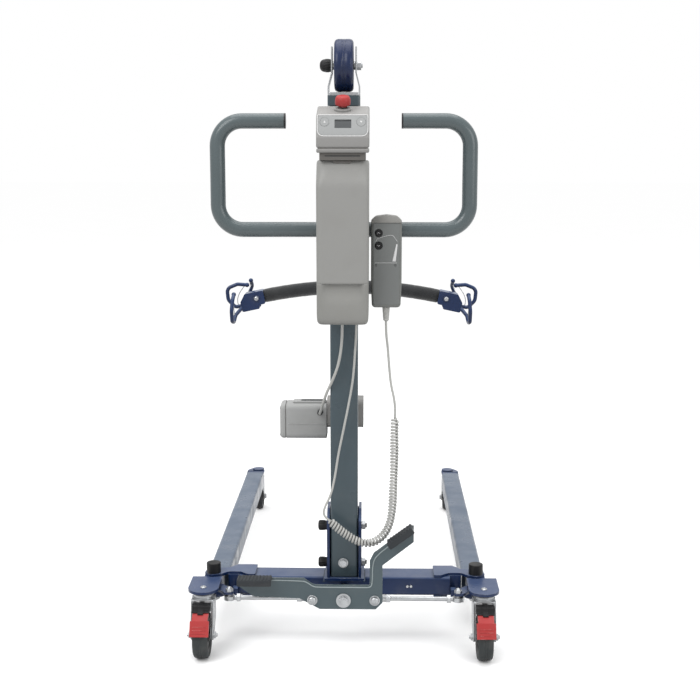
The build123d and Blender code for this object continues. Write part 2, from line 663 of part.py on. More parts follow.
def hanger_bolt():
    bolt = pin((-32, *BOOM_END), (32, *BOOM_END), 8)
    return bolt + hexagon((-35, *BOOM_END), (-27.1, *BOOM_END), 13) + hexagon(
        (27.1, *BOOM_END), (35, *BOOM_END), 13)


def bar_arc():
    y = BOOM_END[0]
    tip_x, tip_z = BAR_TIP
    return ThreePointArc((-tip_x, y, tip_z), (0, y, BAR_MID_Z), (tip_x, y, tip_z))


def spreader_bar():
    """Curved bar with its centre boss and swivel pin."""
    y = BOOM_END[0]
    bar = tube_along(bar_arc(), BAR_R)
    bar += pin((0, y, 688), (0, y, 743.8), 16)
    bar += pin((0, y, 743), (0, y, 768), 10)
    return bar + hexagon((0, y, 760.2), (0, y, 770), 15)


def spreader_grip():
    """Foam sleeve on each half of the spreader bar."""
    arc = bar_arc()
    half = sweep(Plane(origin=arc @ 0, z_dir=arc % 0) * Circle(GRIP_R), path=arc)
    half -= sweep(Plane(origin=arc @ 0, z_dir=arc % 0) * Circle(BAR_R + GAP), path=arc)
    y = BOOM_END[0]
    left = half & block((-300, -22), (y - 40, y + 40), (600, 760))
    right = half & block((22, 300), (y - 40, y + 40), (600, 760))
    return group(left, right)


def hook(points, bends):
    """Bent round-bar hook with a ball tip."""
    path = FilletPolyline(*points, radius=bends)
    tip = Plane(origin=path @ 1, z_dir=path % 1) * Sphere(HOOK_TIP_R)
    return tube_along(path, HOOK_R) + tip


def hook_head():
    """Right-hand end bracket with its outer, near and far sling hooks."""
    y = BOOM_END[0]
    tip_x, tip_z = BAR_TIP
    end = tip_x + HEAD_LONG
    side = [(tip_x + 0.4, tip_z - 19.5), (tip_x + 18, tip_z - 19.5), (tip_x + 18, tip_z - 30),
            (end, tip_z - 30), (end, tip_z - 2), (end - 16, tip_z + 18), (tip_x + 0.4, tip_z + 18)]
    bracket = plate_y(side, (y - HEAD_HALF, y + HEAD_HALF), 5)
    bracket -= block((tip_x + 6, end - 12), (y - HEAD_HALF + 5, y + HEAD_HALF - 5), (tip_z - 40, tip_z + 12))
    for face in (-1, 1):
        low, high = sorted((face * 23, face * 30))
        bracket += hexagon((tip_x + 22, y + low, tip_z), (tip_x + 22, y + high, tip_z), 8)
    bracket = turned(bracket, (tip_x, y, tip_z), HEAD_TILT, (0, 1, 0))
    outer = hook([(299, y, 653), (322, y, 648), (342, y, 668), (345, y, 700), (316, y, 712),
                  (289, y, 710)], [12, 18, 16, 14])
    near = hook([(299, y - 16, 652), (318, y - 34, 630), (322, y - 48, 612), (324, y - 72, 618),
                 (324, y - 84, 648), (322, y - 74, 676), (320, y - 58, 690)], [10, 10, 12, 14, 14])
    far = hook([(299, y + 16, 654), (306, y + 38, 646), (302, y + 64, 650), (292, y + 80, 674),
                (282, y + 74, 700), (284, y + 58, 716)], [10, 14, 14, 14])
    return bracket + outer + near + far


# ---------------------------------------------------------------- handset and cords
def handset_body():
    y, z = HANDSET_Y, HANDSET_Z
    body = block((HANDSET_X - 32, HANDSET_X + 32), y, z)
    body = fillet(body.edges().filter_by(Axis.Y), 9)
    body = fillet(body.edges().group_by(Axis.Y)[0], 3)
    bar_top = HANDLE_LOW_Z + HANDLE_R + 0.4
    hook_points = [(y[1] - 1, bar_top), (HANDLE_Y + 17, bar_top), (HANDLE_Y + 17, 908), (HANDLE_Y + 21, 908),
                   (HANDLE_Y + 21, bar_top + 5), (y[1] - 1, bar_top + 5)]
    body += plate_x(hook_points, (HANDSET_X - 16, HANDSET_X + 16))
    for key_z in HANDSET_KEY_Z:
        body -= pin((74, y[0] - 1, key_z), (74, y[0] + 8, key_z), 7 + GAP)
    return body


def handset_key(z):
    key = pin((74, HANDSET_Y[0] - 2, z), (74, HANDSET_Y[0] + 5, z), 7)
    return fillet(key.edges().group_by(Axis.Y)[0], 1)


def cone(top, bottom, top_r, bottom_r):
    """Tapered strain relief hanging from top to bottom."""
    x, y, z = bottom
    return Pos(x, y, (z + top[2]) / 2) * Cone(bottom_r, top_r, top[2] - z)


def bent_route(points):
    """Route of straight runs and the largest tangent arcs that its runs allow."""
    spots = [Vector(*p) for p in points]
    radii = []
    for before, corner, after in zip(spots, spots[1:], spots[2:]):
        turn = (corner - before).get_angle(after - corner)
        run = min((corner - before).length, (after - corner).length)
        radii.append(0.45 * run / math.tan(math.radians(turn / 2)))
    return FilletPolyline(*points, radius=radii), radii


LEAD_TOP = (27, -49, 736)
LEAD_ROUTE = [LEAD_TOP, (27, -49, 708), (24, -50, 655), (20, -50.5, 598), (10, -51, 542), (-1, -52, 487),
              (-12, -53, 434), (-19, -55, 385), (-28, -58, 344), (-43, -61, 316), (-44, -62, 300),
              (-32, -63, 289)]
COIL_ROUTE = [(-32, -63, 289), (-10.4, -64.8, 269.2), (12, -65, 253), (31, -66, 242), (52, -67, 238),
              (73, -68, 245), (90, -69, 262), (101, -70, 287), (106, -71, 320), (107, -72, 362),
              (109, -73, 408), (109.5, -74, 452), (109, -75.5, 490), (110, -76, 522)]
UPPER_ROUTE = [(110, -76, 522), (110.6, -76.3, 541.2), (108, -77, 565), (101, -78, 593), (97, -79, 634),
               (94, -80, 676), (HANDSET_X, -82, 706), (HANDSET_X, -82, 731)]
CABLE_ROUTE = [(-3, -49, 736), (-3, -49, 708), (-5, -47, 668), (-12, -45, 628), (-25, -41, 594),
               (-38, -31, 566), (-46, -14, 540), (-52, 10, 518), (-56, 28, 505), (-56, 42, 505)]
ROUTES = {"lead": (LEAD_ROUTE, LEAD_R), "coil": (COIL_ROUTE, COIL_R),
          "upper": (UPPER_ROUTE, LEAD_R), "cable": (CABLE_ROUTE, CABLE_R)}


def cord(name):
    """Plain tube of one route, with its radii and its volume printed."""
    points, radius = ROUTES[name]
    path, radii = bent_route(points)
    tube = tube_along(path, radius)
    share = tube.volume / (math.pi * radius ** 2 * path.length)
    print(f"{name}: length {path.length:.1f}, volume ratio {share:.4f}, radii",
          " ".join(f"{r:.1f}" for r in radii))
    return tube


def cable_glands():
    glands = []
    for x, y, z in (LEAD_TOP, CABLE_ROUTE[0]):
        glands.append(cone((x, y, 751.9), (x, y, z), 7, 4.5))
    return group(*glands)


# ---------------------------------------------------------------- assembly
nodes["base_crossbar"] = crossbar()
nodes["mast_bracket"] = mast_bracket()
nodes["base_fasteners"] = base_fasteners()
nodes["plastic_caps"] = plastic_caps()
nodes["leg_right"] = leg()
nodes["leg_left"] = mirrored(nodes["leg_right"])
for name, side in (("left", -1), ("right", 1)):
    nodes[f"rear_fork_{name}"] = rear_fork(side)
    nodes[f"rear_wheel_{name}"] = rear_wheel(side)
    nodes[f"brake_pedal_{name}"] = brake_pedal(side)
    nodes[f"front_fork_{name}"] = front_fork(side)
    nodes[f"front_wheel_{name}"] = front_wheel(side)
    nodes[f"tie_rod_{name}"] = tie_rod(side)
    nodes[f"ball_stud_{name}"] = ball_stud(side)
nodes["rocker_pedal"] = rocker_pedal()
nodes["pedal_pads"] = pedal_pads()

nodes["mast_tube"] = mast_tube()
nodes["mast_head"] = mast_head()
nodes["handle_bar"] = handle_bar()
nodes["handle_clamp"] = handle_clamp()
nodes["mast_knob_upper"] = mast_knob(259)
nodes["mast_knob_lower"] = mast_knob(174)
nodes["top_fork"] = top_fork()
nodes["top_wheel"] = top_wheel()
nodes["top_axle"] = top_axle()
nodes["top_knob"] = top_knob()

nodes["control_mount"] = control_mount()
nodes["control_head"] = control_head()
nodes["lcd_screen"] = lcd_plate(33.8, 17.8, -1.2, -3 + GAP)
nodes["head_key_up"] = panel_pin(KEY_X[0], 9 - GAP, 0.6, -5)
nodes["head_key_down"] = panel_pin(KEY_X[1], 9 - GAP, 0.6, -5)
nodes["estop_collar"] = estop_collar()
nodes["estop_button"] = estop_button()
nodes["battery_pack"] = battery_pack()

nodes["boom"] = boom()
nodes["pivot_bolts"] = pivot_bolts()
nodes["actuator_body"] = actuator_body()
nodes["actuator_motor"] = actuator_motor()
nodes["actuator_rod"] = actuator_rod()
nodes["hanger"] = hanger()
nodes["hanger_bolt"] = hanger_bolt()
nodes["spreader_bar"] = spreader_bar()
nodes["spreader_grip"] = spreader_grip()
nodes["hook_head_right"] = hook_head()
nodes["hook_head_left"] = mirrored(nodes["hook_head_right"])

nodes["handset_body"] = handset_body()
nodes["handset_key_up"] = handset_key(HANDSET_KEY_Z[1])
nodes["handset_key_down"] = handset_key(HANDSET_KEY_Z[0])
nodes["handset_relief"] = cone((HANDSET_X, -82, HANDSET_Z[0] - GAP), (HANDSET_X, -82, 731), 8, 4.5)
nodes["handset_lead_lower"] = cord("lead")
nodes["handset_lead_upper"] = cord("upper")
nodes["handset_coil"] = cord("coil")
nodes["actuator_cable"] = cord("cable")
nodes["cable_glands"] = cable_glands()

for name, shape in nodes.items():
    solids = [Pos(0, -CENTRE_Y, 0) * solid for solid in shape.solids()]
    export_step(solids[0] if len(solids) == 1 else Compound(solids), f"parts/{name}.step")
print(len(nodes), "nodes")
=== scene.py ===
import json
import math

import bmesh
import bpy
from mathutils import Matrix, Vector


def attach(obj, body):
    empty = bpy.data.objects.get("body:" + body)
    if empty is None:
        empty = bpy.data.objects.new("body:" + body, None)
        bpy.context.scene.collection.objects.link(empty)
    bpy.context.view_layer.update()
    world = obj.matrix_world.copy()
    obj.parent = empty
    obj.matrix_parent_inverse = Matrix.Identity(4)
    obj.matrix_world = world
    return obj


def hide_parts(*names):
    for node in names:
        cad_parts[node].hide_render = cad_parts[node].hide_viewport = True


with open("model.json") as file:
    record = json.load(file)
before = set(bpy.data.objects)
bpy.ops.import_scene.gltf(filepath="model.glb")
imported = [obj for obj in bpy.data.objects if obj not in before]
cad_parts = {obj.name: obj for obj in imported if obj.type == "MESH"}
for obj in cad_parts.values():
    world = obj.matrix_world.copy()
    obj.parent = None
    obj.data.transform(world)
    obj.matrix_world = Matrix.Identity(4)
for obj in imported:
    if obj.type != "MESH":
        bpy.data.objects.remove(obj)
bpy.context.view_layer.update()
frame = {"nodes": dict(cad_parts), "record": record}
nodes = frame["nodes"]

# Sizes below are millimetres about the mast's axis; the row's origin lies this far ahead of it.
MAST_BACK = 430.75
SIDES = (("left", -1), ("right", 1))


def at(x, y, z):
    return Vector((x / 1000, (y - MAST_BACK) / 1000, z / 1000))


# ---------------------------------------------------------------- camera, floor and light
camera = bpy.data.objects.new("camera", bpy.data.cameras.new("camera"))
bpy.context.scene.collection.objects.link(camera)
camera.data.sensor_width = 36
camera.data.lens = 65.66
camera.location = at(69.9, -2747.0, 1110.1)
camera.rotation_euler = (math.radians(80.6), 0, math.radians(1.2))
bpy.context.scene.camera = camera
bpy.context.scene.view_settings.view_transform = "Standard"


def area_light(name, place, aim, size, power):
    lamp = bpy.data.lights.new(name, "AREA")
    lamp.shape = "RECTANGLE"
    lamp.size, lamp.size_y = size
    lamp.energy = power
    obj = bpy.data.objects.new(name, lamp)
    bpy.context.scene.collection.objects.link(obj)
    obj.location = place
    obj.rotation_euler = (Vector(aim) - Vector(place)).to_track_quat("-Z", "Y").to_euler()


area_light("key", (-1.9, -2.6, 2.9), (0, -0.3, 0.7), (1.8, 1.8), 62)
area_light("fill", (2.4, -2.2, 1.7), (0, -0.3, 0.6), (1.6, 1.6), 26)
area_light("top", (0, -0.2, 3.2), (0, -0.1, 0), (2.4, 2.4), 46)

world = bpy.data.worlds.new("studio")
bpy.context.scene.world = world
world.use_nodes = True
world.node_tree.nodes["Background"].inputs["Color"].default_value = (1, 1, 1, 1)
world.node_tree.nodes["Background"].inputs["Strength"].default_value = 1.0


# ---------------------------------------------------------------- materials
def linear(red, green, blue):
    """Linear colour of an 8-bit screen colour."""
    def channel(value):
        value /= 255
        return value / 12.92 if value <= 0.04045 else ((value + 0.055) / 1.055) ** 2.4
    return (channel(red), channel(green), channel(blue), 1)


def scaled(colour, factor):
    return tuple(min(1, c * factor) for c in colour[:3]) + (1,)


# The white room adds to every surface, so paint and plastic are this much darker than they look.
ALBEDO = 0.44
# Pale sky colour mixed into upward faces as a painted reflection.
PAINTED_SKY_COLOUR = linear(150, 166, 190)
DUST = linear(150, 146, 140)


class Shader:
    """Small helper that adds nodes to one material."""

    def __init__(self, name):
        self.material = bpy.data.materials.new(name)
        self.material.use_nodes = True
        self.tree = self.material.node_tree
        self.bsdf = self.tree.nodes["Principled BSDF"]
        self.place = self.add("ShaderNodeTexCoord").outputs["Object"]

    def add(self, kind, **inputs):
        node = self.tree.nodes.new(kind)
        for key, value in inputs.items():
            self.put(node.inputs[key.replace("_", " ")], value)
        return node

    def put(self, socket, value):
        if isinstance(value, bpy.types.NodeSocket):
            self.tree.links.new(value, socket)
        else:
            socket.default_value = value

    def noise(self, scale, detail=3.0, stretch=(1, 1, 1)):
        spread = self.add("ShaderNodeMapping", Vector=self.place, Scale=stretch)
        return self.add("ShaderNodeTexNoise", Vector=spread.outputs[0], Scale=scale,
                        Detail=detail).outputs[0]

    def band(self, value, low, high, start=0.0, end=1.0):
        node = self.add("ShaderNodeMapRange")
        names = ("Value", "From Min", "From Max", "To Min", "To Max")
        for key, item in zip(names, (value, low, high, start, end)):
            self.put(node.inputs[key], item)
        return node.outputs[0]

    def times(self, a, b, how="MULTIPLY"):
        node = self.tree.nodes.new("ShaderNodeMath")
        node.operation = how
        node.use_clamp = True
        self.put(node.inputs[0], a)
        self.put(node.inputs[1], b)
        return node.outputs[0]

    def mix(self, factor, a, b):
        node = self.tree.nodes.new("ShaderNodeMix")
        node.data_type = "RGBA"
        self.put(node.inputs[0], factor)
        self.put(node.inputs[6], a)
        self.put(node.inputs[7], b)
        return node.outputs[2]


def finish_of(name, colour, rough=0.45, metal=0.0, variation=0.07, patch=7.0, grain=900.0, bump=0.12,
              coat=0.0, wear=None, worn=0.5, dust=0.0, round_edge=0.0008, stretch=(1, 1, 1), zones=(),
              sheen=0.0, shade=0.36, gloss=0.22, painted_top_highlight=0.0):
    """Surface with drifting colour, fine grain, softened edges, rubbed corners and painted shading."""
    s = Shader(name)
    colour = scaled(colour, 1 if metal else ALBEDO)
    drift = s.noise(patch, 4.0)
    fine = s.noise(grain, 2.0, stretch)
    base = s.mix(s.band(drift, 0.3, 0.7), scaled(colour, 1 - variation), scaled(colour, 1 + variation))
    for axis, low, high, other in zones:
        parts = s.add("ShaderNodeSeparateXYZ", Vector=s.place)
        base = s.mix(s.band(parts.outputs[axis], low, high), base, scaled(other, ALBEDO))
    base = s.mix(s.times(s.band(fine, 0.45, 0.75), 0.12), base, scaled(colour, 0.6))
    soft = None
    if round_edge:
        soft = s.add("ShaderNodeBevel", Radius=round_edge * 2)
        soft.samples = 4
    if wear and soft:
        flat = s.add("ShaderNodeNewGeometry").outputs["Normal"]
        agree = s.tree.nodes.new("ShaderNodeVectorMath")
        agree.operation = "DOT_PRODUCT"
        s.put(agree.inputs[0], soft.outputs[0])
        s.put(agree.inputs[1], flat)
        spots = s.band(s.noise(70.0, 6.0), 0.5, 0.64)
        rubbed = s.times(s.times(s.band(agree.outputs["Value"], 0.97, 0.82), spots), worn)
        base = s.mix(rubbed, base, wear)
    if dust:
        settled = s.times(s.band(s.noise(23.0, 6.0), 0.52, 0.75), dust * 0.5)
        base = s.mix(settled, base, scaled(DUST, ALBEDO))
    # Painted shade and light: surfaces are painted darker underneath and lighter on top.
    facing = s.add("ShaderNodeNewGeometry").outputs["Normal"]
    upward = s.add("ShaderNodeSeparateXYZ", Vector=facing).outputs[2]
    painted_light_and_shade = s.tree.nodes.new("ShaderNodeVectorMath")
    painted_light_and_shade.operation = "SCALE"
    s.put(painted_light_and_shade.inputs[0], base)
    s.put(painted_light_and_shade.inputs["Scale"], s.band(upward, -1.0, 1.0, 1 - shade, 1 + shade))
    # Painted reflection: a pale sky colour mixed into the tops.
    painted_top_light = s.mix(s.times(s.band(upward, 0.3, 1.0), painted_top_highlight), painted_light_and_shade.outputs[0], PAINTED_SKY_COLOUR)
    s.put(s.bsdf.inputs["Base Color"], painted_top_light)
    s.put(s.bsdf.inputs["Specular IOR Level"], gloss)
    s.put(s.bsdf.inputs["Metallic"], metal)
    smudge = s.band(s.noise(18.0, 5.0), 0.35, 0.7, max(0.04, rough - 0.08), min(1, rough + 0.12))
    s.put(s.bsdf.inputs["Roughness"], smudge)
    s.put(s.bsdf.inputs["Coat Weight"], coat)
    s.put(s.bsdf.inputs["Coat Roughness"], 0.18)
    s.put(s.bsdf.inputs["Sheen Weight"], sheen)
    relief = s.add("ShaderNodeBump", Height=fine, Strength=bump)
    relief.inputs["Distance"].default_value = 0.0006
    if soft:
        s.put(relief.inputs["Normal"], soft.outputs[0])
    s.put(s.bsdf.inputs["Normal"], relief.outputs[0])
    return s.material


bare_metal = linear(176, 178, 178)
navy = linear(22, 50, 98)
slate = linear(76, 92, 112)
# The leg tubes are slate grey between the blue pivot plates and the blue caster plates.
Y_AXIS = 1
Z_AXIS = 2
LEG_ZONES = ((Y_AXIS, at(0, 34, 0).y, at(0, 36, 0).y, slate), (Y_AXIS, at(0, 944, 0).y, at(0, 946, 0).y,
                                                               navy))
# Painted shade: the battery is painted a little darker below its ledge than above it.
BATTERY_SHADE_ZONES = ((Z_AXIS, 0.812, 0.822, linear(174, 174, 171)),)
# Colour, roughness and the rest of finish_of's settings for each material.
FINISHES = {
    "blue_paint": (navy, 0.36, dict(coat=0.12, shade=0.6, painted_top_highlight=0.16, wear=bare_metal, worn=0.5, dust=0.2,
                   grain=1400)),
    "grey_green_paint": (linear(80, 96, 104), 0.34, dict(coat=0.15, wear=bare_metal, worn=0.35, grain=1300,
                   dust=0.12)),
    "rocker_paint": (linear(88, 104, 110), 0.4, dict(coat=0.2, wear=bare_metal, worn=0.6, dust=0.2,
                   grain=1300)),
    "handle_paint": (linear(100, 112, 115), 0.26, dict(coat=0.3, wear=bare_metal, worn=0.3, grain=1500)),
    "zinc_steel": (linear(158, 160, 162), 0.3, dict(metal=0.9, variation=0.12, patch=60, grain=500,
                   bump=0.1, stretch=(1, 1, 6), dust=0.25)),
    "chromed_rod": (linear(215, 217, 220), 0.1, dict(metal=1.0, variation=0.03, grain=700, bump=0.03,
                   stretch=(8, 1, 1))),
    "black_plastic": (linear(34, 34, 36), 0.42, dict(variation=0.15, grain=1500, bump=0.2,
                   wear=linear(96, 96, 98), worn=0.4)),
    "black_rubber": (linear(62, 66, 70), 0.7, dict(variation=0.15, grain=1100, bump=0.3,
                   wear=linear(120, 120, 120), worn=0.4, dust=0.3)),
    "grey_tyre": (linear(66, 71, 72), 0.62, dict(variation=0.14, patch=30, grain=900, bump=0.3,
                   wear=linear(120, 120, 116), worn=0.5, dust=0.35)),
    "black_tyre": (linear(52, 54, 58), 0.55, dict(variation=0.14, patch=30, grain=900, bump=0.3,
                   wear=linear(120, 120, 118), worn=0.4, dust=0.35)),
    "blue_tyre": (linear(14, 38, 84), 0.38, dict(variation=0.1, patch=24, grain=900, bump=0.12,
                   wear=linear(92, 104, 140), worn=0.5, coat=0.2)),
    "red_plastic": (linear(196, 62, 62), 0.42, dict(variation=0.07, grain=1300, bump=0.15,
                   wear=linear(232, 150, 146), worn=0.6, dust=0.15)),
    "light_plastic": (linear(172, 171, 169), 0.5, dict(variation=0.03, grain=2200, bump=0.16, dust=0.22)),
    "battery_plastic": (linear(164, 164, 160), 0.5, dict(variation=0.03, grain=2200, bump=0.16, dust=0.22,
                   zones=BATTERY_SHADE_ZONES)),
    "motor_plastic": (linear(196, 197, 196), 0.5, dict(variation=0.03, grain=2200, bump=0.16, dust=0.22)),
    "panel_film": (linear(190, 192, 192), 0.4, dict(variation=0.02, grain=2600, bump=0.05)),
    # Darker grey; on the head's core and skirt and the battery's notch it is painted shade in those
    # recesses.
    "head_shadow": (linear(124, 121, 117), 0.55, dict(variation=0.05, grain=2000, bump=0.15)),
    "handset_plastic": (linear(140, 142, 139), 0.5, dict(variation=0.04, grain=2000, bump=0.2, dust=0.1)),
    "handset_face": (linear(140, 143, 142), 0.38, dict(variation=0.03, grain=2500, bump=0.05)),
    "handset_cap": (linear(166, 165, 161), 0.5, dict(variation=0.04, grain=2000, bump=0.16)),
    "lcd": (linear(98, 101, 103), 0.14, dict(variation=0.04, grain=900, bump=0.01, coat=0.6)),
    "key_grey": (linear(172, 172, 170), 0.45, dict(variation=0.03, grain=2500, bump=0.08)),
    "white_print": (scaled(linear(240, 240, 238), 1.9), 0.5, dict(variation=0.02, grain=2500, bump=0.03)),
    # Dark print; on the head's skirt slot it is painted shade inside the slot.
    "dark_print_and_slot_shade": (linear(70, 72, 74), 0.4, dict(variation=0.03, grain=2500, bump=0.03)),
    "cord_grey": (linear(212, 212, 208), 0.42, dict(variation=0.04, patch=16, grain=2400, bump=0.1,
                   round_edge=0)),
    "grip_foam": (linear(48, 50, 52), 0.85, dict(variation=0.12, patch=40, grain=1500, bump=0.6,
                   wear=linear(92, 94, 94), worn=0.4, sheen=0.35, dust=0.1)),
    # Light colour of the rocker's edge bead, a painted highlight.
    "highlight_paint": (linear(170, 182, 184), 0.35, dict(variation=0.1, grain=1300, coat=0.2)),
    "weld_metal": (scaled(slate, 0.8), 0.45, dict(variation=0.12, grain=900, bump=0.3)),
    "leg_paint": (navy, 0.34, dict(coat=0.12, shade=0.6, painted_top_highlight=0.1, wear=bare_metal, worn=0.5, dust=0.2,
                   grain=1400, zones=LEG_ZONES)),
}
M = {name: finish_of(name, colour, rough, **rest) for name, (colour, rough, rest) in FINISHES.items()}


# ---------------------------------------------------------------- mesh builders
SHARP = 32          # degrees between faces above which an edge stays sharp
CAD_SHARP = 28


def new_object(name, data, body, slot):
    obj = bpy.data.objects.new(name, data)
    bpy.context.scene.collection.objects.link(obj)
    obj.data.materials.append(M[slot])
    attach(obj, body)
    return obj


def mesh_from(name, verts, faces, body, slot, sharp=SHARP):
    mesh = bpy.data.meshes.new(name)
    mesh.from_pydata([tuple(v) for v in verts], [], faces)
    work = bmesh.new()
    work.from_mesh(mesh)
    bmesh.ops.recalc_face_normals(work, faces=work.faces)
    work.to_mesh(mesh)
    work.free()
    mesh.polygons.foreach_set("use_smooth", [True] * len(mesh.polygons))
    mesh.set_sharp_from_angle(angle=math.radians(sharp))
    return new_object(name, mesh, body, slot)


def loft(name, rings, body, slot, closed_ends=True, joined=False, sharp=SHARP):
    """Skin over rings that all have the same number of points."""
    count = len(rings[0])
    verts = [p for ring in rings for p in ring]
    pairs = list(zip(range(len(rings)), range(1, len(rings))))
    if joined:
        pairs.append((len(rings) - 1, 0))
    faces = [[a * count + i, a * count + (i + 1) % count, b * count + (i + 1) % count, b * count + i]
             for a, b in pairs for i in range(count)]
    if closed_ends and not joined:
        faces.append(list(range(count)))
        faces.append([(len(rings) - 1) * count + i for i in range(count)])
    return mesh_from(name, verts, faces, body, slot, sharp)


def rounded(points, bends, steps=6):
    """Flat outline with each corner turned into an arc of the given radius."""
    if not isinstance(bends, (list, tuple)):
        bends = [bends] * len(points)
    out = []
    for i, (corner, bend) in enumerate(zip(points, bends)):
        corner = Vector(corner)
        before = Vector(points[i - 1]) - corner
        after = Vector(points[(i + 1) % len(points)]) - corner
        half = before.angle(after) / 2
        cut = min(bend / math.tan(half), 0.49 * min(before.length, after.length))
        start, end = corner + before.normalized() * cut, corner + after.normalized() * cut
        for k in range(steps + 1):
            t = k / steps
            out.append((1 - t) ** 2 * start + 2 * t * (1 - t) * corner + t ** 2 * end)
    return out


def shrunk(outline, inset):
    """Outline moved inwards by inset."""
    area = sum(a.x * b.y - b.x * a.y for a, b in zip(outline, outline[1:] + outline[:1]))
    turn = 1 if area > 0 else -1
    out = []
    for i, point in enumerate(outline):
        way = (outline[(i + 1) % len(outline)] - outline[i - 1]).normalized()
        out.append(point + Vector((-way.y, way.x)) * inset * turn)
    return out


def safe_inset(outline, inset):
    """Largest inset, up to the one asked for, that doesn't fold a corner over itself."""
    while inset > 0.01:
        inner = shrunk(outline, inset)
        sides = zip(outline, outline[1:] + outline[:1], inner, inner[1:] + inner[:1])
        if all((b - a).dot(q - p) > 0 for a, b, p, q in sides if (b - a).length > 1e-6):
            break
        inset *= 0.85
    return inset


def along_x(u, v, w):
    """Outline in (y, z), run along X."""
    return at(w, u, v)


def along_y(u, v, w):
    """Outline in (x, z), run along Y."""
    return at(u, w, v)


def along_z(u, v, w):
    """Outline in (x, y), run along Z."""
    return at(u, v, w)


def soft_prism(name, outline, place, low, high, body, slot, edge=1.5, far_edge=None, steps=4, sharp=SHARP):
    """Outline run from low to high, with a rounded rim at each end."""
    far_edge = edge if far_edge is None else far_edge
    turns = [math.pi / 2 * k / steps for k in range(steps + 1)]
    near, far = safe_inset(outline, edge), safe_inset(outline, far_edge)
    stages = [(low + edge * (1 - math.cos(t)), near * (1 - math.sin(t))) for t in turns]
    stages += [(high - far_edge * (1 - math.cos(t)), far * (1 - math.sin(t))) for t in reversed(turns)]
    rings = [[place(p.x, p.y, level) for p in shrunk(outline, inset)] for level, inset in stages]
    return loft(name, rings, body, slot, sharp=sharp)


def box_outline(u0, u1, v0, v1, bend=1.0, steps=5):
    return rounded([(u0, v0), (u1, v0), (u1, v1), (u0, v1)], bend, steps)


def cut(obj, *cutters):
    """Takes the cutters out of obj."""
    for cutter in cutters:
        step = obj.modifiers.new("cut", "BOOLEAN")
        step.operation = "DIFFERENCE"
        step.solver = "EXACT"
        step.object = cutter
    bpy.context.view_layer.update()
    mesh = bpy.data.meshes.new_from_object(obj.evaluated_get(bpy.context.evaluated_depsgraph_get()))
    obj.modifiers.clear()
    obj.data = mesh
    mesh.set_sharp_from_angle(angle=math.radians(SHARP))
    for cutter in set(cutters):
        bpy.data.objects.remove(cutter)


def lathe(name, profile, centre, axis, body, slot, steps=64, ripple=(0, 0.0), closed=True, sharp=SHARP):
    """Profile of (radius, distance along the axis) turned about an axis through centre."""
    way = Vector(axis).normalized()
    side = way.orthogonal().normalized()
    other = way.cross(side)
    rings = []
    for k in range(steps):
        turn = 2 * math.pi * k / steps
        grow = 1 + ripple[1] * math.cos(ripple[0] * turn) if ripple[0] else 1
        arm = side * math.cos(turn) + other * math.sin(turn)
        rings.append([at(*centre) + (way * along + arm * radius * grow) / 1000 for radius,
                      along in profile])
    return loft(name, rings, body, slot, joined=True, sharp=sharp)


def curve_mesh(points, smooth, order=3, cyclic=False, radius=0.0, swell=None):
    """Mesh of a smooth line through the pull of the points, or of a round wire along it."""
    data = bpy.data.curves.new("route", "CURVE")
    data.dimensions = "3D"
    data.bevel_depth = radius
    data.bevel_resolution = 5
    data.use_fill_caps = radius > 0
    data.resolution_u = smooth
    spline = data.splines.new("NURBS")
    spline.points.add(len(points) - 1)
    for k, (point, spot) in enumerate(zip(spline.points, points)):
        point.co = (*spot, 1)
        point.radius = swell(k) if swell else 1
    spline.use_cyclic_u = cyclic
    spline.order_u = order
    spline.use_endpoint_u = not cyclic
    holder = bpy.data.objects.new("route", data)
    bpy.context.scene.collection.objects.link(holder)
    bpy.context.view_layer.update()
    mesh = bpy.data.meshes.new_from_object(holder)
    bpy.data.objects.remove(holder)
    bpy.data.curves.remove(data)
    return mesh


def wire(name, points, radius, body, slot, order=3, cyclic=False, smooth=8, swell=None):
    mesh = curve_mesh(points, smooth, order, cyclic, radius / 1000, swell)
    mesh.name = name
    mesh.polygons.foreach_set("use_smooth", [True] * len(mesh.polygons))
    mesh.set_sharp_from_angle(angle=math.radians(60))
    return new_object(name, mesh, body, slot)


def smooth_line(points, detail=12):
    """Points along the smooth line of a route's control points."""
    mesh = curve_mesh(points, detail)
    spots = [v.co.copy() for v in mesh.vertices]
    bpy.data.meshes.remove(mesh)
    return spots


def length_of(points):
    return sum((b - a).length for a, b in zip(points, points[1:]))


# ---------------------------------------------------------------- the two cords
LEAD_ROUTE = [(27, -49, 736), (27, -49, 708), (24, -50, 655), (20, -50.5, 598), (10, -51, 542),
              (-1, -52, 487), (-12, -53, 434), (-19, -55, 385), (-28, -58, 344), (-43, -61, 316),
              (-44, -62, 300), (-32, -63, 289)]
COIL_ROUTE = [(-32, -63, 289), (-10.4, -64.8, 269.2), (12, -65, 253), (31, -66, 242), (52, -67, 238),
              (73, -68, 245), (90, -69, 262), (101, -70, 287), (106, -71, 320), (107, -72, 362),
              (109, -73, 408), (109.5, -74, 452), (109, -75.5, 490), (110, -76, 522)]
UPPER_ROUTE = [(110, -76, 522), (110.6, -76.3, 541.2), (108, -77, 565), (101, -78, 593), (97, -79, 634),
               (94, -80, 676), (90, -82, 706), (90, -82, 731)]
CABLE_ROUTE = [(-3, -49, 736), (-3, -49, 708), (-5, -47, 668), (-12, -45, 628), (-25, -41, 594),
               (-38, -31, 566), (-46, -14, 540), (-52, 10, 518), (-56, 28, 505), (-56, 42, 505)]
COIL_PITCH = 0.0071
COIL_ARM = 0.007
TURN_POINTS = 13


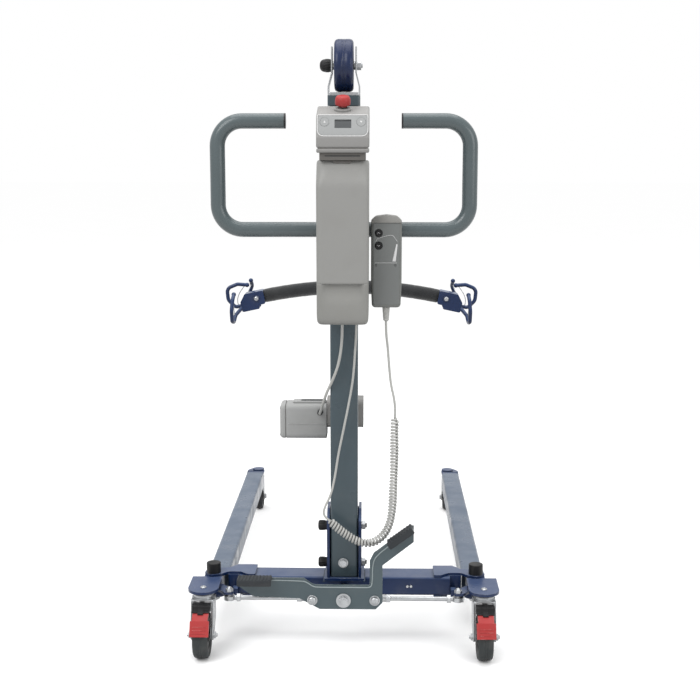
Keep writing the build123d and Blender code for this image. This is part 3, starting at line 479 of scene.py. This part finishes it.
def helix(centre_line):
    """Turns wound round a centre line, opening out of it and closing back into it."""
    total = length_of(centre_line)
    turns = round(total / COIL_PITCH)
    count = turns * TURN_POINTS
    marks = [0.0]
    for a, b in zip(centre_line, centre_line[1:]):
        marks.append(marks[-1] + (b - a).length)
    out = []
    index = 0
    side = None
    for k in range(1, count):
        distance = total * k / count
        while index < len(marks) - 2 and marks[index + 1] < distance:
            index += 1
        share = (distance - marks[index]) / (marks[index + 1] - marks[index])
        spot = centre_line[index].lerp(centre_line[index + 1], share)
        way = (centre_line[index + 1] - centre_line[index]).normalized()
        side = way.orthogonal() if side is None else side - way * side.dot(way)
        side.normalize()
        turn = 2 * math.pi * k / TURN_POINTS
        open_out = min(1, k / TURN_POINTS, (count - k) / TURN_POINTS)
        arm = COIL_ARM * open_out * (1 + 0.05 * math.sin(distance * 61))
        out.append(spot + (side * math.cos(turn) + way.cross(side) * math.sin(turn)) * arm)
    return out


coil = helix(smooth_line([at(*p) for p in COIL_ROUTE]))
lead_points = [at(*p) for p in LEAD_ROUTE] + coil + [at(*p) for p in UPPER_ROUTE]
handset_cord = wire("handset_cord", lead_points, 2.5, "base", "cord_grey", smooth=5)
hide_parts("handset_lead_lower", "handset_coil", "handset_lead_upper")
lead_path = smooth_line(lead_points, 5)

cable_points = [at(*p) for p in CABLE_ROUTE]
motor_cable = wire("motor_cable", cable_points, 3.0, "base", "cord_grey", smooth=16)
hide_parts("actuator_cable")
cable_path = smooth_line(cable_points, 16)


# ---------------------------------------------------------------- finish on the CAD nodes
for part in frame["record"]["subparts"]:
    obj = nodes[part["node"]]
    obj.data.materials.clear()
    obj.data.materials.append(M["leg_paint" if part["node"].startswith("leg_") else part["material_slot"]])
    obj.data.polygons.foreach_set("use_smooth", [True] * len(obj.data.polygons))
    obj.data.set_sharp_from_angle(angle=math.radians(CAD_SHARP))

# ---------------------------------------------------------------- wheels and knobs
REAR_X, REAR_STEM_Y, REAR_AXLE_Y = 305, -96, -127
FRONT_X, FRONT_STEM_Y, FRONT_AXLE_Y = 284, 988, 1008
REAR_R, REAR_W = 50, 33
FRONT_R, FRONT_W = 37.5, 24
TOP_AXLE_Z = 1261.5


def turned_wheel(name, node, body, centre, radius, width, tyre, hub):
    """Rolling tyre with worn grooves on a dished hub."""
    half = width / 2
    profile = [(radius * 0.74, -half + 1.2), (radius * 0.8, -half + 0.3), (radius * 0.88, -half),
               (radius * 0.94, -half + 1.4), (radius * 0.98, -half + 4), (radius, -half + 8),
               (radius, -3.2), (radius - 0.7, -2.6), (radius - 0.7, -2.0), (radius, -1.4), (radius, 1.4),
               (radius - 0.7, 2.0), (radius - 0.7, 2.6), (radius, 3.2), (radius, half - 8),
               (radius * 0.98, half - 4), (radius * 0.94, half - 1.4), (radius * 0.88, half),
               (radius * 0.8, half - 0.3), (radius * 0.74, half - 1.2)]
    rim = lathe(name + "_tyre", profile, centre, (1, 0, 0), body, tyre, steps=96, sharp=50)
    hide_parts(node)
    dish = [(5, -half), (radius * 0.24, -half), (radius * 0.27, -half + 1), (radius * 0.3, -half + 4),
            (radius * 0.6, -half + 4.6), (radius * 0.66, -half + 2), (radius * 0.745, -half + 1.6),
            (radius * 0.745, half - 1.6), (radius * 0.66, half - 2), (radius * 0.6, half - 4.6),
            (radius * 0.3, half - 4), (radius * 0.27, half - 1), (radius * 0.24, half), (5, half)]
    lathe(name + "_hub", dish, centre, (1, 0, 0), body, hub, steps=72, sharp=40)


for side, sign in SIDES:
    turned_wheel("rear_caster_" + side, "rear_wheel_" + side, "rear_wheel_" + side,
                 (sign * REAR_X, REAR_AXLE_Y, REAR_R), REAR_R, REAR_W, "grey_tyre", "black_plastic")
    turned_wheel("front_caster_" + side, "front_wheel_" + side, "front_wheel_" + side,
                 (sign * FRONT_X, FRONT_AXLE_Y, FRONT_R), FRONT_R, FRONT_W, "black_tyre", "black_plastic")
turned_wheel("transport_roller", "top_wheel", "transport_wheel", (0, -4, TOP_AXLE_Z), 54.5, 40, "blue_tyre",
             "black_plastic")

KNOB = [(0.01, -0.6), (6, -0.5), (9.4, 0.6), (11.0, 3), (11.2, 8), (10.8, 14), (9.6, 18.6), (7, 20.2),
        (4.8, 20.3), (0.01, 20.2)]
for name, body, spot in (("mast_knob_grip_upper", "upper_knob", (-58, 0, 259)),
                         ("mast_knob_grip_lower", "lower_knob", (-58, 0, 174))):
    lathe(name, KNOB, spot, (1, 0, 0), body, "black_plastic", steps=84, ripple=(12, 0.035))
DOME = [(0.01, -0.4), (5, 0.4), (9.4, 3.2), (12.2, 7.6), (13.5, 13), (13.6, 18.5), (12.6, 22.4), (9, 23.6),
        (0.01, 23.7)]
lathe("axle_knob_grip", DOME, (-51, -4, TOP_AXLE_Z), (1, 0, 0), "axle_knob", "black_plastic", steps=84,
      ripple=(14, 0.03))


def screw(name, centre, axis, radius, body, slot="zinc_steel", socket=0.45):
    """Domed screw head with a recess, standing out of a face along axis."""
    rise = radius * 0.45
    profile = [(0.01, rise * 0.55), (radius * socket * 0.9, rise * 0.55), (radius * socket, rise * 1.02),
               (radius * 0.72, rise * 0.9), (radius * 0.95, rise * 0.45), (radius, 0), (0.01, -0.3)]
    return lathe(name, profile, centre, axis, body, slot, steps=40)


def washer(name, centre, axis, inner, outer, thick, body, slot="zinc_steel"):
    rim = outer - 0.4
    profile = [(inner, 0), (rim, 0), (outer, 0.3), (outer, thick - 0.3), (rim, thick), (inner, thick)]
    return lathe(name, profile, centre, axis, body, slot, steps=56)


# ---------------------------------------------------------------- battery pack
def eased(value, low, high):
    share = min(1, max(0, (value - low) / (high - low)))
    return share * share * (3 - 2 * share)


def battery_ring(z, half, front, bend):
    """Level of the battery shell, with a finger scoop below the ledge and a crowned face."""
    across = [-half + bend + (2 * half - 2 * bend) * k / 24 for k in range(1, 24)]
    outline = rounded([(-half, -72.3), (-half, front), (half, front), (half, -72.3)], [2, bend, bend, 2], 8)
    outline = outline[:18] + [Vector((x, front)) for x in across] + outline[18:]
    ring = []
    for p in outline:
        scoop = 0
        if p.y < -100 and z < 816.6:
            scoop = 10 * eased(z, 772, 812) * eased(46 - abs(p.x), 0, 16)
        crown = 0.8 * max(0, 1 - (p.x / half) ** 2) if p.y < -100 else 0
        ring.append(at(p.x, p.y + scoop - crown, z))
    return ring


BATTERY = [(731, 45, -138, 9), (731.8, 48, -142, 10), (734, 50.5, -145.4, 11), (738, 52.4, -148, 12),
           (744, 53.2, -149, 12), (752, 53.5, -149.2, 12), (770, 53.6, -149.2, 12), (780, 53.6, -149.2, 12),
           (788, 53.6, -149.2, 12), (796, 53.6, -149.2, 12), (804, 53.6, -149.2, 12),
           (810, 53.6, -149.2, 12), (814, 53.6, -149.2, 12), (816.4, 53.6, -149.2, 12),
           (816.8, 53.6, -148.8, 12), (818, 53.7, -149.2, 12), (820, 53.7, -149.2, 12),
           (900, 53.8, -148.4, 12), (1008, 54, -147.4, 12), (1016, 54, -147, 13), (1023, 54, -145.8, 15),
           (1030, 54, -143.6, 18), (1039, 54, -140, 22), (1050, 54, -135.4, 25), (1058, 54, -131.6, 26),
           (1063, 53.4, -128.6, 25), (1066, 51.4, -125.6, 22)]
pack = loft("battery_shell", [battery_ring(*row) for row in BATTERY], "battery", "battery_plastic",
            sharp=40)
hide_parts("battery_pack")
# Darker piece on the battery's shoulder: painted shade in the thumb notch.
soft_prism("battery_notch_shade", rounded([(-23, 1066), (-15, 1060.5), (15, 1060.5), (23, 1066)], [1, 6, 6, 1],
                                    5), along_y, -133.5, -120, "battery", "head_shadow", edge=1)
for x in (-30, 30):
    soft_prism("battery_foot_" + ("left" if x < 0 else "right"), box_outline(x - 9, x + 9, -118, -96, 3),
               along_z, 729.6, 732, "battery", "head_shadow", edge=0.5)

# ---------------------------------------------------------------- control head
SLOPE = math.atan2(46, 14)
PANEL_LOW = (-150, 1112)
KEY_UP_X, KEY_DOWN_X = -36, 38
KEY_V = 0.68 * 48.08        # height of the keys up the sloped panel


def on_panel(u, v, w):
    """u across, v up the sloped panel, w out of it."""
    y = PANEL_LOW[0] + v * math.cos(SLOPE) - w * math.sin(SLOPE)
    return at(u, y, PANEL_LOW[1] + v * math.sin(SLOPE) + w * math.cos(SLOPE))


head_outline = rounded([(-34.2, 1091.4), (-150, 1091.4), (-150, 1112), (-136, 1158), (-70, 1176),
                        (-34.2, 1176)], [5, 5, 8, 8, 7, 5], 6)
head = soft_prism("head_shell", head_outline, along_x, -53, 54, "base", "light_plastic", edge=4.2, steps=6,
                  sharp=40)
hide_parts("control_head")
lip_outline = rounded([(-34.2, 1082), (-148.5, 1082), (-150, 1090.4), (-34.2, 1090.4)], 3.2, 4)
soft_prism("head_lip", lip_outline, along_x, -52.6, 53.6, "base", "light_plastic", edge=2.6, steps=5,
           sharp=40)
# Darker core showing in the groove between shell and lip: painted shade in the groove.
soft_prism("head_core", box_outline(-50, 51, -147.6, -60, 3), along_z, 1084, 1100, "base", "head_shadow",
           edge=1)
# Darker skirt under the head: painted shade in the recess.
soft_prism("head_skirt", box_outline(-47, 47, -140, -74, 3), along_z, 1066.6, 1083, "base", "head_shadow",
           edge=0.8)
# Dark strip: painted shade inside the skirt's slot.
soft_prism("head_slot_shade", box_outline(-36, 36, 1074.6, 1076.6, 0.9), along_y, -140.5, -139.2, "base",
           "dark_print_and_slot_shade", edge=0.2)
film = soft_prism("panel_film", rounded([(-49, 5), (50, 5), (50, 46), (-49, 46)], [13, 13, 3, 3], 8),
                  on_panel, -1.0, 0.18, "base", "panel_film", edge=0.1)
bezel_line = rounded([(-50.4, 3.4), (51.4, 3.4), (51.4, 47), (-50.4, 47)], [14, 14, 3, 3], 8)
wire("panel_bezel", [on_panel(p.x, p.y, -0.1) for p in bezel_line], 1.05, "base", "white_print",
     cyclic=True, smooth=4)


def cutter(radius, depth, segments, place):
    """Round cutter for cut()."""
    work = bmesh.new()
    bmesh.ops.create_cone(work, cap_ends=True, segments=segments, radius1=radius, radius2=radius,
                          depth=depth)
    work.transform(place)
    mesh = bpy.data.meshes.new("cutter")
    work.to_mesh(mesh)
    work.free()
    obj = bpy.data.objects.new("cutter", mesh)
    bpy.context.scene.collection.objects.link(obj)
    return obj


def key_cutter(x):
    out = (on_panel(0, 0, 1) - on_panel(0, 0, 0)).normalized()
    turn = out.to_track_quat("Z", "Y").to_matrix().to_4x4()
    return cutter(0.0091, 0.014, 48, Matrix.Translation(on_panel(x, KEY_V, -3)) @ turn)


for shell in (head, film):
    cut(shell, key_cutter(KEY_UP_X), key_cutter(KEY_DOWN_X))
nodes["head_key_up"].data.materials[0] = M["panel_film"]
nodes["head_key_down"].data.materials[0] = M["panel_film"]
screen = soft_prism("status_screen", box_outline(-15.9, 17.9, 20, 37.8, 1), on_panel, -0.6, 0.3, "base",
                    "lcd", edge=0.15)
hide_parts("lcd_screen")
soft_prism("status_screen_band", box_outline(-15.6, 17.6, 34.2, 37.4, 0.6), on_panel, 0.1, 0.42, "base",
           "dark_print_and_slot_shade", edge=0.08)
for name, body, x, up in (("up_mark", "head_key_up", KEY_UP_X, 1),
                          ("down_mark", "head_key_down", KEY_DOWN_X, -1)):
    triangle = [(x - 3.2, KEY_V - 2.2 * up), (x + 3.2, KEY_V - 2.2 * up), (x, KEY_V + 2.8 * up)]
    soft_prism(name, rounded(triangle, 0.5, 3), on_panel, 0.5, 0.85, body, "white_print", edge=0.1)

# ---------------------------------------------------------------- stop button
ROOF_TILT = math.atan2(18, 66)
roof_mid = (0, -103, 1167)
roof_out = (0, -math.sin(ROOF_TILT), math.cos(ROOF_TILT))
collar_profile = [(9.4, -1), (17.4, -1), (17.6, 1), (17, 3.8), (15.6, 5.1), (12, 5.3), (9.4, 5.2)]
ring = lathe("stop_collar", collar_profile, roof_mid, roof_out, "base", "light_plastic", steps=64)
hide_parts("estop_collar")
cap_profile = [(0.01, 8), (9, 8), (9, 10), (12.5, 10.6), (15.3, 12), (15.9, 16), (15.7, 21), (14.6, 26),
               (12.6, 29), (9.8, 30), (0.01, 29.4)]
stop_cap = lathe("stop_cap", cap_profile, roof_mid, roof_out, "stop_button", "red_plastic", steps=72,
                 ripple=(18, 0.012), sharp=40)
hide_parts("estop_button")

# ---------------------------------------------------------------- handset
case_outline = rounded([(60, 761), (120, 761), (122, 810), (122, 942), (112, 951.5), (90, 954.2),
                        (68, 951.5), (58, 942), (58, 810)], [9, 9, 30, 8, 12, 20, 12, 8, 30], 6)
case = soft_prism("handset_case", case_outline, along_y, -95.6, -68.2, "base", "handset_plastic", edge=4.5,
                  far_edge=3, steps=6, sharp=40)
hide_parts("handset_body")
hook_outline = rounded([(-72, 937), (-30, 937), (-30, 908), (-26, 908), (-26, 942), (-72, 942)],
                       [0.5, 1, 1.8, 1.8, 5, 0.5], 5)
soft_prism("handset_hook", hook_outline, along_x, 74, 106, "base", "handset_plastic", edge=1.4)
face_plate = soft_prism("handset_face", box_outline(62.5, 117.5, 767, 937, 4), along_y, -96.3, -94.5,
                        "base", "handset_face", edge=0.4)
cap_outline = rounded([(58.2, 937.5), (121.8, 937.5), (121.9, 943), (112, 952), (90, 954.8), (68, 952),
                       (58.1, 943)], [1, 1, 6, 12, 20, 12, 6], 6)
soft_prism("handset_crown", cap_outline, along_y, -97.4, -67.8, "base", "handset_cap", edge=4, steps=6,
           sharp=40)


def bore_cutter(x, z):
    turn = Matrix.Rotation(math.pi / 2, 4, "X")
    return cutter(0.00735, 0.020, 40, Matrix.Translation(at(x, -98, z)) @ turn)


HANDSET_KEY_X = 74
HANDSET_KEYS = (("handset_key_up", 917, 1), ("handset_key_down", 891, -1))
for shell in (case, face_plate):
    cut(shell, *[bore_cutter(HANDSET_KEY_X, z) for _, z, _ in HANDSET_KEYS])
for body, z, up in HANDSET_KEYS:
    rim = [(7.4, 0), (8.3, 0.2), (8.5, 0.7), (8.1, 1.1), (7.6, 1.0)]
    lathe(body + "_rim", rim, (HANDSET_KEY_X, -96.2, z), (0, -1, 0), "base", "dark_print_and_slot_shade", steps=48)
    arrow = [(71.2, z - 1.2 * up), (HANDSET_KEY_X, z + 2.0 * up), (76.8, z - 1.2 * up)]
    wire(body + "_mark", [at(x, -98.15, v) for x, v in arrow], 0.45, body, "white_print", order=2, smooth=2)

# Plain line drawing of a mast, boom and base.
wire("drawing_boom", [at(x, -96.4, z) for x, z in ((68, 900), (70, 905.5), (84, 909.5), (99, 913),
                                                   (105, 911.5), (112.5, 899))], 0.5, "base", "white_print",
     smooth=6)
soft_prism("drawing_mast", rounded([(110.2, 894), (113.4, 894), (109.6, 858), (102.4, 858)], 0.6, 3),
           along_y, -96.7, -96.0, "base", "white_print", edge=0.1)
wire("drawing_base", [at(x, -96.4, 855) for x in (65.5, 80, 112)], 0.5, "base", "white_print", smooth=2)
for x in (68.5, 108.5):
    circle = [at(x + 2 * math.cos(t * math.pi / 6), -96.35, 850 + 2 * math.sin(t * math.pi / 6))
              for t in range(12)]
    wire("drawing_wheel_" + ("left" if x < 90 else "right"), circle, 0.4, "base", "dark_print_and_slot_shade", cyclic=True,
         smooth=3)
relief = [(0.01, 0.2)] + [(7.7 - 0.16 * k * 0.62 + (0.55 if k % 2 else -0.2), -1.4 * k) for k in range(21)]
relief += [(3.2, -30), (0.01, -30)]
strain = lathe("handset_strain_relief", relief, (90, -82, 761), (0, 0, 1), "base", "cord_grey", steps=48,
               sharp=50)
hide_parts("handset_relief")

# ---------------------------------------------------------------- actuator motor
motor_outline = rounded([(60.3, 441), (60.3, 520), (124, 520), (124, 441)], [13, 13, 12, 12], 8)
motor = soft_prism("motor_housing", motor_outline, along_x, -133.5, -41.2, "actuator", "motor_plastic",
                   edge=2.5, steps=5, sharp=40)
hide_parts("actuator_motor")
soft_prism("motor_end_cap", motor_outline, along_x, -147, -134.3, "actuator", "motor_plastic", edge=9,
           far_edge=0.8, steps=7, sharp=40)
soft_prism("motor_seam", shrunk(motor_outline, 1.2), along_x, -135.5, -132.5, "actuator", "head_shadow",
           edge=0.2)
soft_prism("motor_ridge", box_outline(78, 108, 518, 524.5, 3), along_x, -118, -44, "actuator",
           "motor_plastic", edge=4)
soft_prism("motor_ridge_line", box_outline(84, 102, 523.8, 525, 0.5), along_x, -100, -50, "actuator",
           "dark_print_and_slot_shade", edge=0.3)
soft_prism("motor_rib", box_outline(59.6, 61.5, 474, 477, 0.8), along_x, -129, -46, "actuator",
           "motor_plastic", edge=0.8)
gland_profile = [(0.01, -1)] + [(5.6 + (0.5 if k % 2 else 0), k * 2.0)
                                for k in range(8)] + [(4.4, 17.6), (0.01, 17.7)]
lathe("motor_gland", gland_profile, (-56, 60, 505), (0, -1, 0), "actuator", "dark_print_and_slot_shade", steps=40)
for y, z in ((68, 450), (68, 511), (116, 450), (116, 511)):
    screw(f"motor_screw_{y}_{z}", (-146.6, y, z), (-1, 0, 0), 2.4, "actuator")

# ---------------------------------------------------------------- foam grips
ARC_R = (240 ** 2 + 25 ** 2) / 50
for side, sign in SIDES:
    skin = []
    layers = [(22.0, 14.15), (22.4, 17.2), (24.0, 18.5)] + [(24 + 213 * k / 30, 18.85)
                                                            for k in range(1, 30)]
    layers += [(238.4, 18.5), (240.2, 17.2), (240.6, 14.15), (180, 14.15), (120, 14.15), (70, 14.15)]
    for x, radius in layers:
        lean = math.asin(x / ARC_R) * sign
        spot = at(sign * x, 768, 705 - ARC_R + ARC_R * math.cos(lean))
        across = Vector((math.sin(lean), 0, math.cos(lean)))
        swell = 0.14 * math.sin(x * 0.21) + 0.1 * math.sin(x * 0.53 + 1)
        skin.append([spot + (across * math.cos(t * math.pi / 24) + Vector((0, 1, 0))
                             * math.sin(t * math.pi / 24)) * (radius + (swell if radius > 18.8 else 0))
                     / 1000 for t in range(48)])
    grip = loft("foam_grip_" + side, skin, "spreader", "grip_foam", joined=True, sharp=50)
    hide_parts("spreader_grip")

# ---------------------------------------------------------------- spreader hooks
for side, sign in SIDES:
    latches = (("outer", [(297, 768, 706), (309, 768, 692), (318, 768, 668), (314, 768, 654)]),
               ("near", [(319, 712, 684), (322, 722, 664), (322, 728, 640), (320, 733, 626)]),
               ("far", [(283, 834, 706), (290, 824, 690), (298, 815, 668), (302, 808, 655)]))
    for place, points in latches:
        wire(f"sling_latch_{place}_{side}", [at(sign * x, y, z) for x, y, z in points], 1.1, "spreader",
             "zinc_steel")
    for y, way in ((738, -1), (798, 1)):
        spot = Vector((sign * 261.5, y, 675.4))
        screw(f"hook_bolt_{side}_{'near' if way < 0 else 'far'}", tuple(spot), (0, way, 0), 6.2, "spreader")

# ---------------------------------------------------------------- rocker and treads
# Raised bead along the rocker's flanged top edge, coloured light as a painted highlight.
highlight_line = [(-222, 163), (-92, 162.6), (-78, 158), (-66, 148.5), (-50, 147.5), (40, 147.5), (57, 147.5),
          (63, 154), (63, 204), (74, 222), (104, 246), (148, 281)]
wire("rocker_highlight_bead", [at(x, -94.1, z) for x, z in highlight_line], 1.3, "rocker", "highlight_paint", smooth=6)
for side, sign in SIDES:
    screw("rod_screw_" + side, (sign * 68, -98, 118), (0, -1, 0), 8.6, "rocker", socket=0.4)
    washer("rod_washer_" + side, (sign * 68, -94, 118), (0, -1, 0), 7, 11.5, 1.4, "rocker")
TREADS = (("left_tread", (-192, 166), 0.0, 74), ("right_tread", (124, 267.5), math.atan2(38, 52), 64))
for name, centre, angle, width in TREADS:
    ribs = int(width / 7)
    for k in range(ribs):
        along = (k + 0.5) * width / ribs - width / 2

        def on_tread(u, v, w, c=math.cos(angle), s=math.sin(angle), centre=centre, along=along):
            return at(centre[0] + (along + u) * c - v * s, w, centre[1] + (along + u) * s + v * c)

        soft_prism(f"{name}_rib_{k}", box_outline(-1.7, 1.7, 7.2, 9.2, 0.8), on_tread, -127.5, -95.5,
                   "rocker", "black_rubber", edge=0.7, steps=3)

# ---------------------------------------------------------------- caster trim
PEDAL_SLOPE = math.atan2(97 - 67, -168 + 184)
AXLE_NUT = [(0.01, 0), (7.6, 0), (8, 0.6), (8, 4.2), (7.2, 5), (4.4, 5.2), (4.2, 8), (3.4, 8.8),
            (0.01, 8.9)]
for side, sign in SIDES:
    x = sign * REAR_X
    swivel = "rear_swivel_" + side
    hood = rounded([(-119, 104), (-119, 121.5), (-131, 121.5), (-138.2, 118.8), (-140, 111.6),
                    (-149, 109.6), (-149, 106.5), (-128, 106)], 0.8, 4)
    soft_prism("brake_hood_" + side, hood, along_x, x - 19.5, x - 5, swivel, "black_plastic", edge=1)
    soft_prism("brake_hood_inner_" + side, hood, along_x, x + 5, x + 19.5, swivel, "black_plastic", edge=1)
    bridge = rounded([(-119, 112), (-119, 122.2), (-131.5, 122.2), (-138.9, 119.2), (-140.6, 112.4),
                      (-154, 108.4), (-154, 104.5), (-139, 107)], 0.8, 4)
    soft_prism("brake_bridge_" + side, bridge, along_x, x - 6, x + 6, swivel, "black_plastic", edge=0.5)

    def on_pedal(u, v, w, x=x):
        y = -184 + v * math.cos(PEDAL_SLOPE) - w * math.sin(PEDAL_SLOPE)
        return at(x + u, y, 67 + v * math.sin(PEDAL_SLOPE) + w * math.cos(PEDAL_SLOPE))

    for k in range(3):
        soft_prism(f"brake_rib_{side}_{k}", box_outline(-15, 15, 6 + 7 * k, 8 + 7 * k, 0.8), on_pedal, -0.5,
                   0.8, "brake_" + side, "red_plastic", edge=0.6, steps=3)
    cheek = rounded([(-74, 126), (-118, 126), (-139, 56), (-134, 40), (-120, 40), (-79, 78)],
                    [4, 5, 12, 7, 7, 20], 6)
    for way in (-1, 1):
        end = "in" if way * sign < 0 else "out"
        low, high = sorted((x + way * 21.3, x + way * 24.8))
        soft_prism(f"fork_skirt_{side}_{end}", cheek, along_x, low, high, swivel, "zinc_steel", edge=1.4)
        lathe(f"axle_nut_{side}_{end}", AXLE_NUT, (x + way * 24.6, REAR_AXLE_Y, REAR_R), (way, 0, 0),
              swivel, "zinc_steel", steps=6, sharp=20)
    soft_prism("fork_crown_" + side, box_outline(x - 24.8, x + 24.8, -119, -73, 7), along_z, 121.5, 126.4,
               swivel, "zinc_steel", edge=1.8)
    gusset = [(237, -12), (237, -32), (245, -32), (249, -24), (249, -12)]
    soft_prism("base_gusset_" + side, rounded([(sign * u, v) for u, v in gusset], 2, 4), along_z, 94, 121,
               "base", "blue_paint", edge=1.5)
    bar_end = [(235, 2), (262, 2), (262, 34), (235, 34)]
    soft_prism("bar_end_" + side, rounded([(sign * u, v) for u, v in bar_end], 3, 4), along_z, 99.8, 142.2,
               "base", "blue_paint", edge=0.4)
    washer("swivel_race_" + side, (x, REAR_STEM_Y, 126.2), (0, 0, 1), 14, 24.5, 2.2, swivel)
    washer("swivel_race_top_" + side, (x, REAR_STEM_Y, 131.5), (0, 0, 1), 10, 23, 2.6, swivel)
    screw("stem_rivet_" + side, (x, REAR_STEM_Y, 145.9), (0, 0, 1), 7, "leg_" + side, socket=0.5)
    washer("front_race_" + side, (sign * FRONT_X, FRONT_STEM_Y, 104.2), (0, 0, 1), 9, 17, 2, "front_swivel_"
           + side)
    for y in (-46, -30):
        washer(f"arm_bolt_{side}_{'rear' if y < -40 else 'front'}", (sign * 262, y, 99), (0, 0, 1), 0.5,
               4.2, 26, "leg_" + side)

# ---------------------------------------------------------------- welds and clamps
def bead(name, points, radius, body, slot="weld_metal"):
    """Rippled weld along a line."""
    wire(name, smooth_line(points, 10), radius, body, slot, smooth=2, swell=lambda k: 1 + 0.25
         * math.sin(k * 1.7))


for side, sign in SIDES:
    bead("bracket_weld_" + side, [at(sign * 44.5, y, 143.4) for y in (-44, -20, 10, 34)], 2.0, "base")
for side, sign in SIDES:
    bead("front_plate_weld_" + side, [at(sign * 294 + dx, 957.5, 127.5) for dx in (-20, 0, 20)], 1.6, "leg_"
         + side)
for x in (-22, 22):
    screw("clamp_screw_" + ("left" if x < 0 else "right"), (x, -66.2, 931), (0, -1, 0), 4, "base")

# ---------------------------------------------------------------- floor
floor_mesh = bpy.data.meshes.new("floor")
floor_mesh.from_pydata([(-30, -30, -0.0005), (30, -30, -0.0005), (30, 30, -0.0005), (-30, 30, -0.0005)], [],
                       [(0, 1, 2, 3)])
floor = bpy.data.objects.new("floor", floor_mesh)
bpy.context.scene.collection.objects.link(floor)
floor_shade = Shader("floor_white")
floor_shade.put(floor_shade.bsdf.inputs["Base Color"],
                floor_shade.mix(floor_shade.noise(2.0), (0.985, 0.985, 0.985, 1), (1, 1, 1, 1)))
floor_shade.put(floor_shade.bsdf.inputs["Roughness"], 1.0)
floor_shade.put(floor_shade.bsdf.inputs["Specular IOR Level"], 0.0)
floor_mesh.materials.append(floor_shade.material)
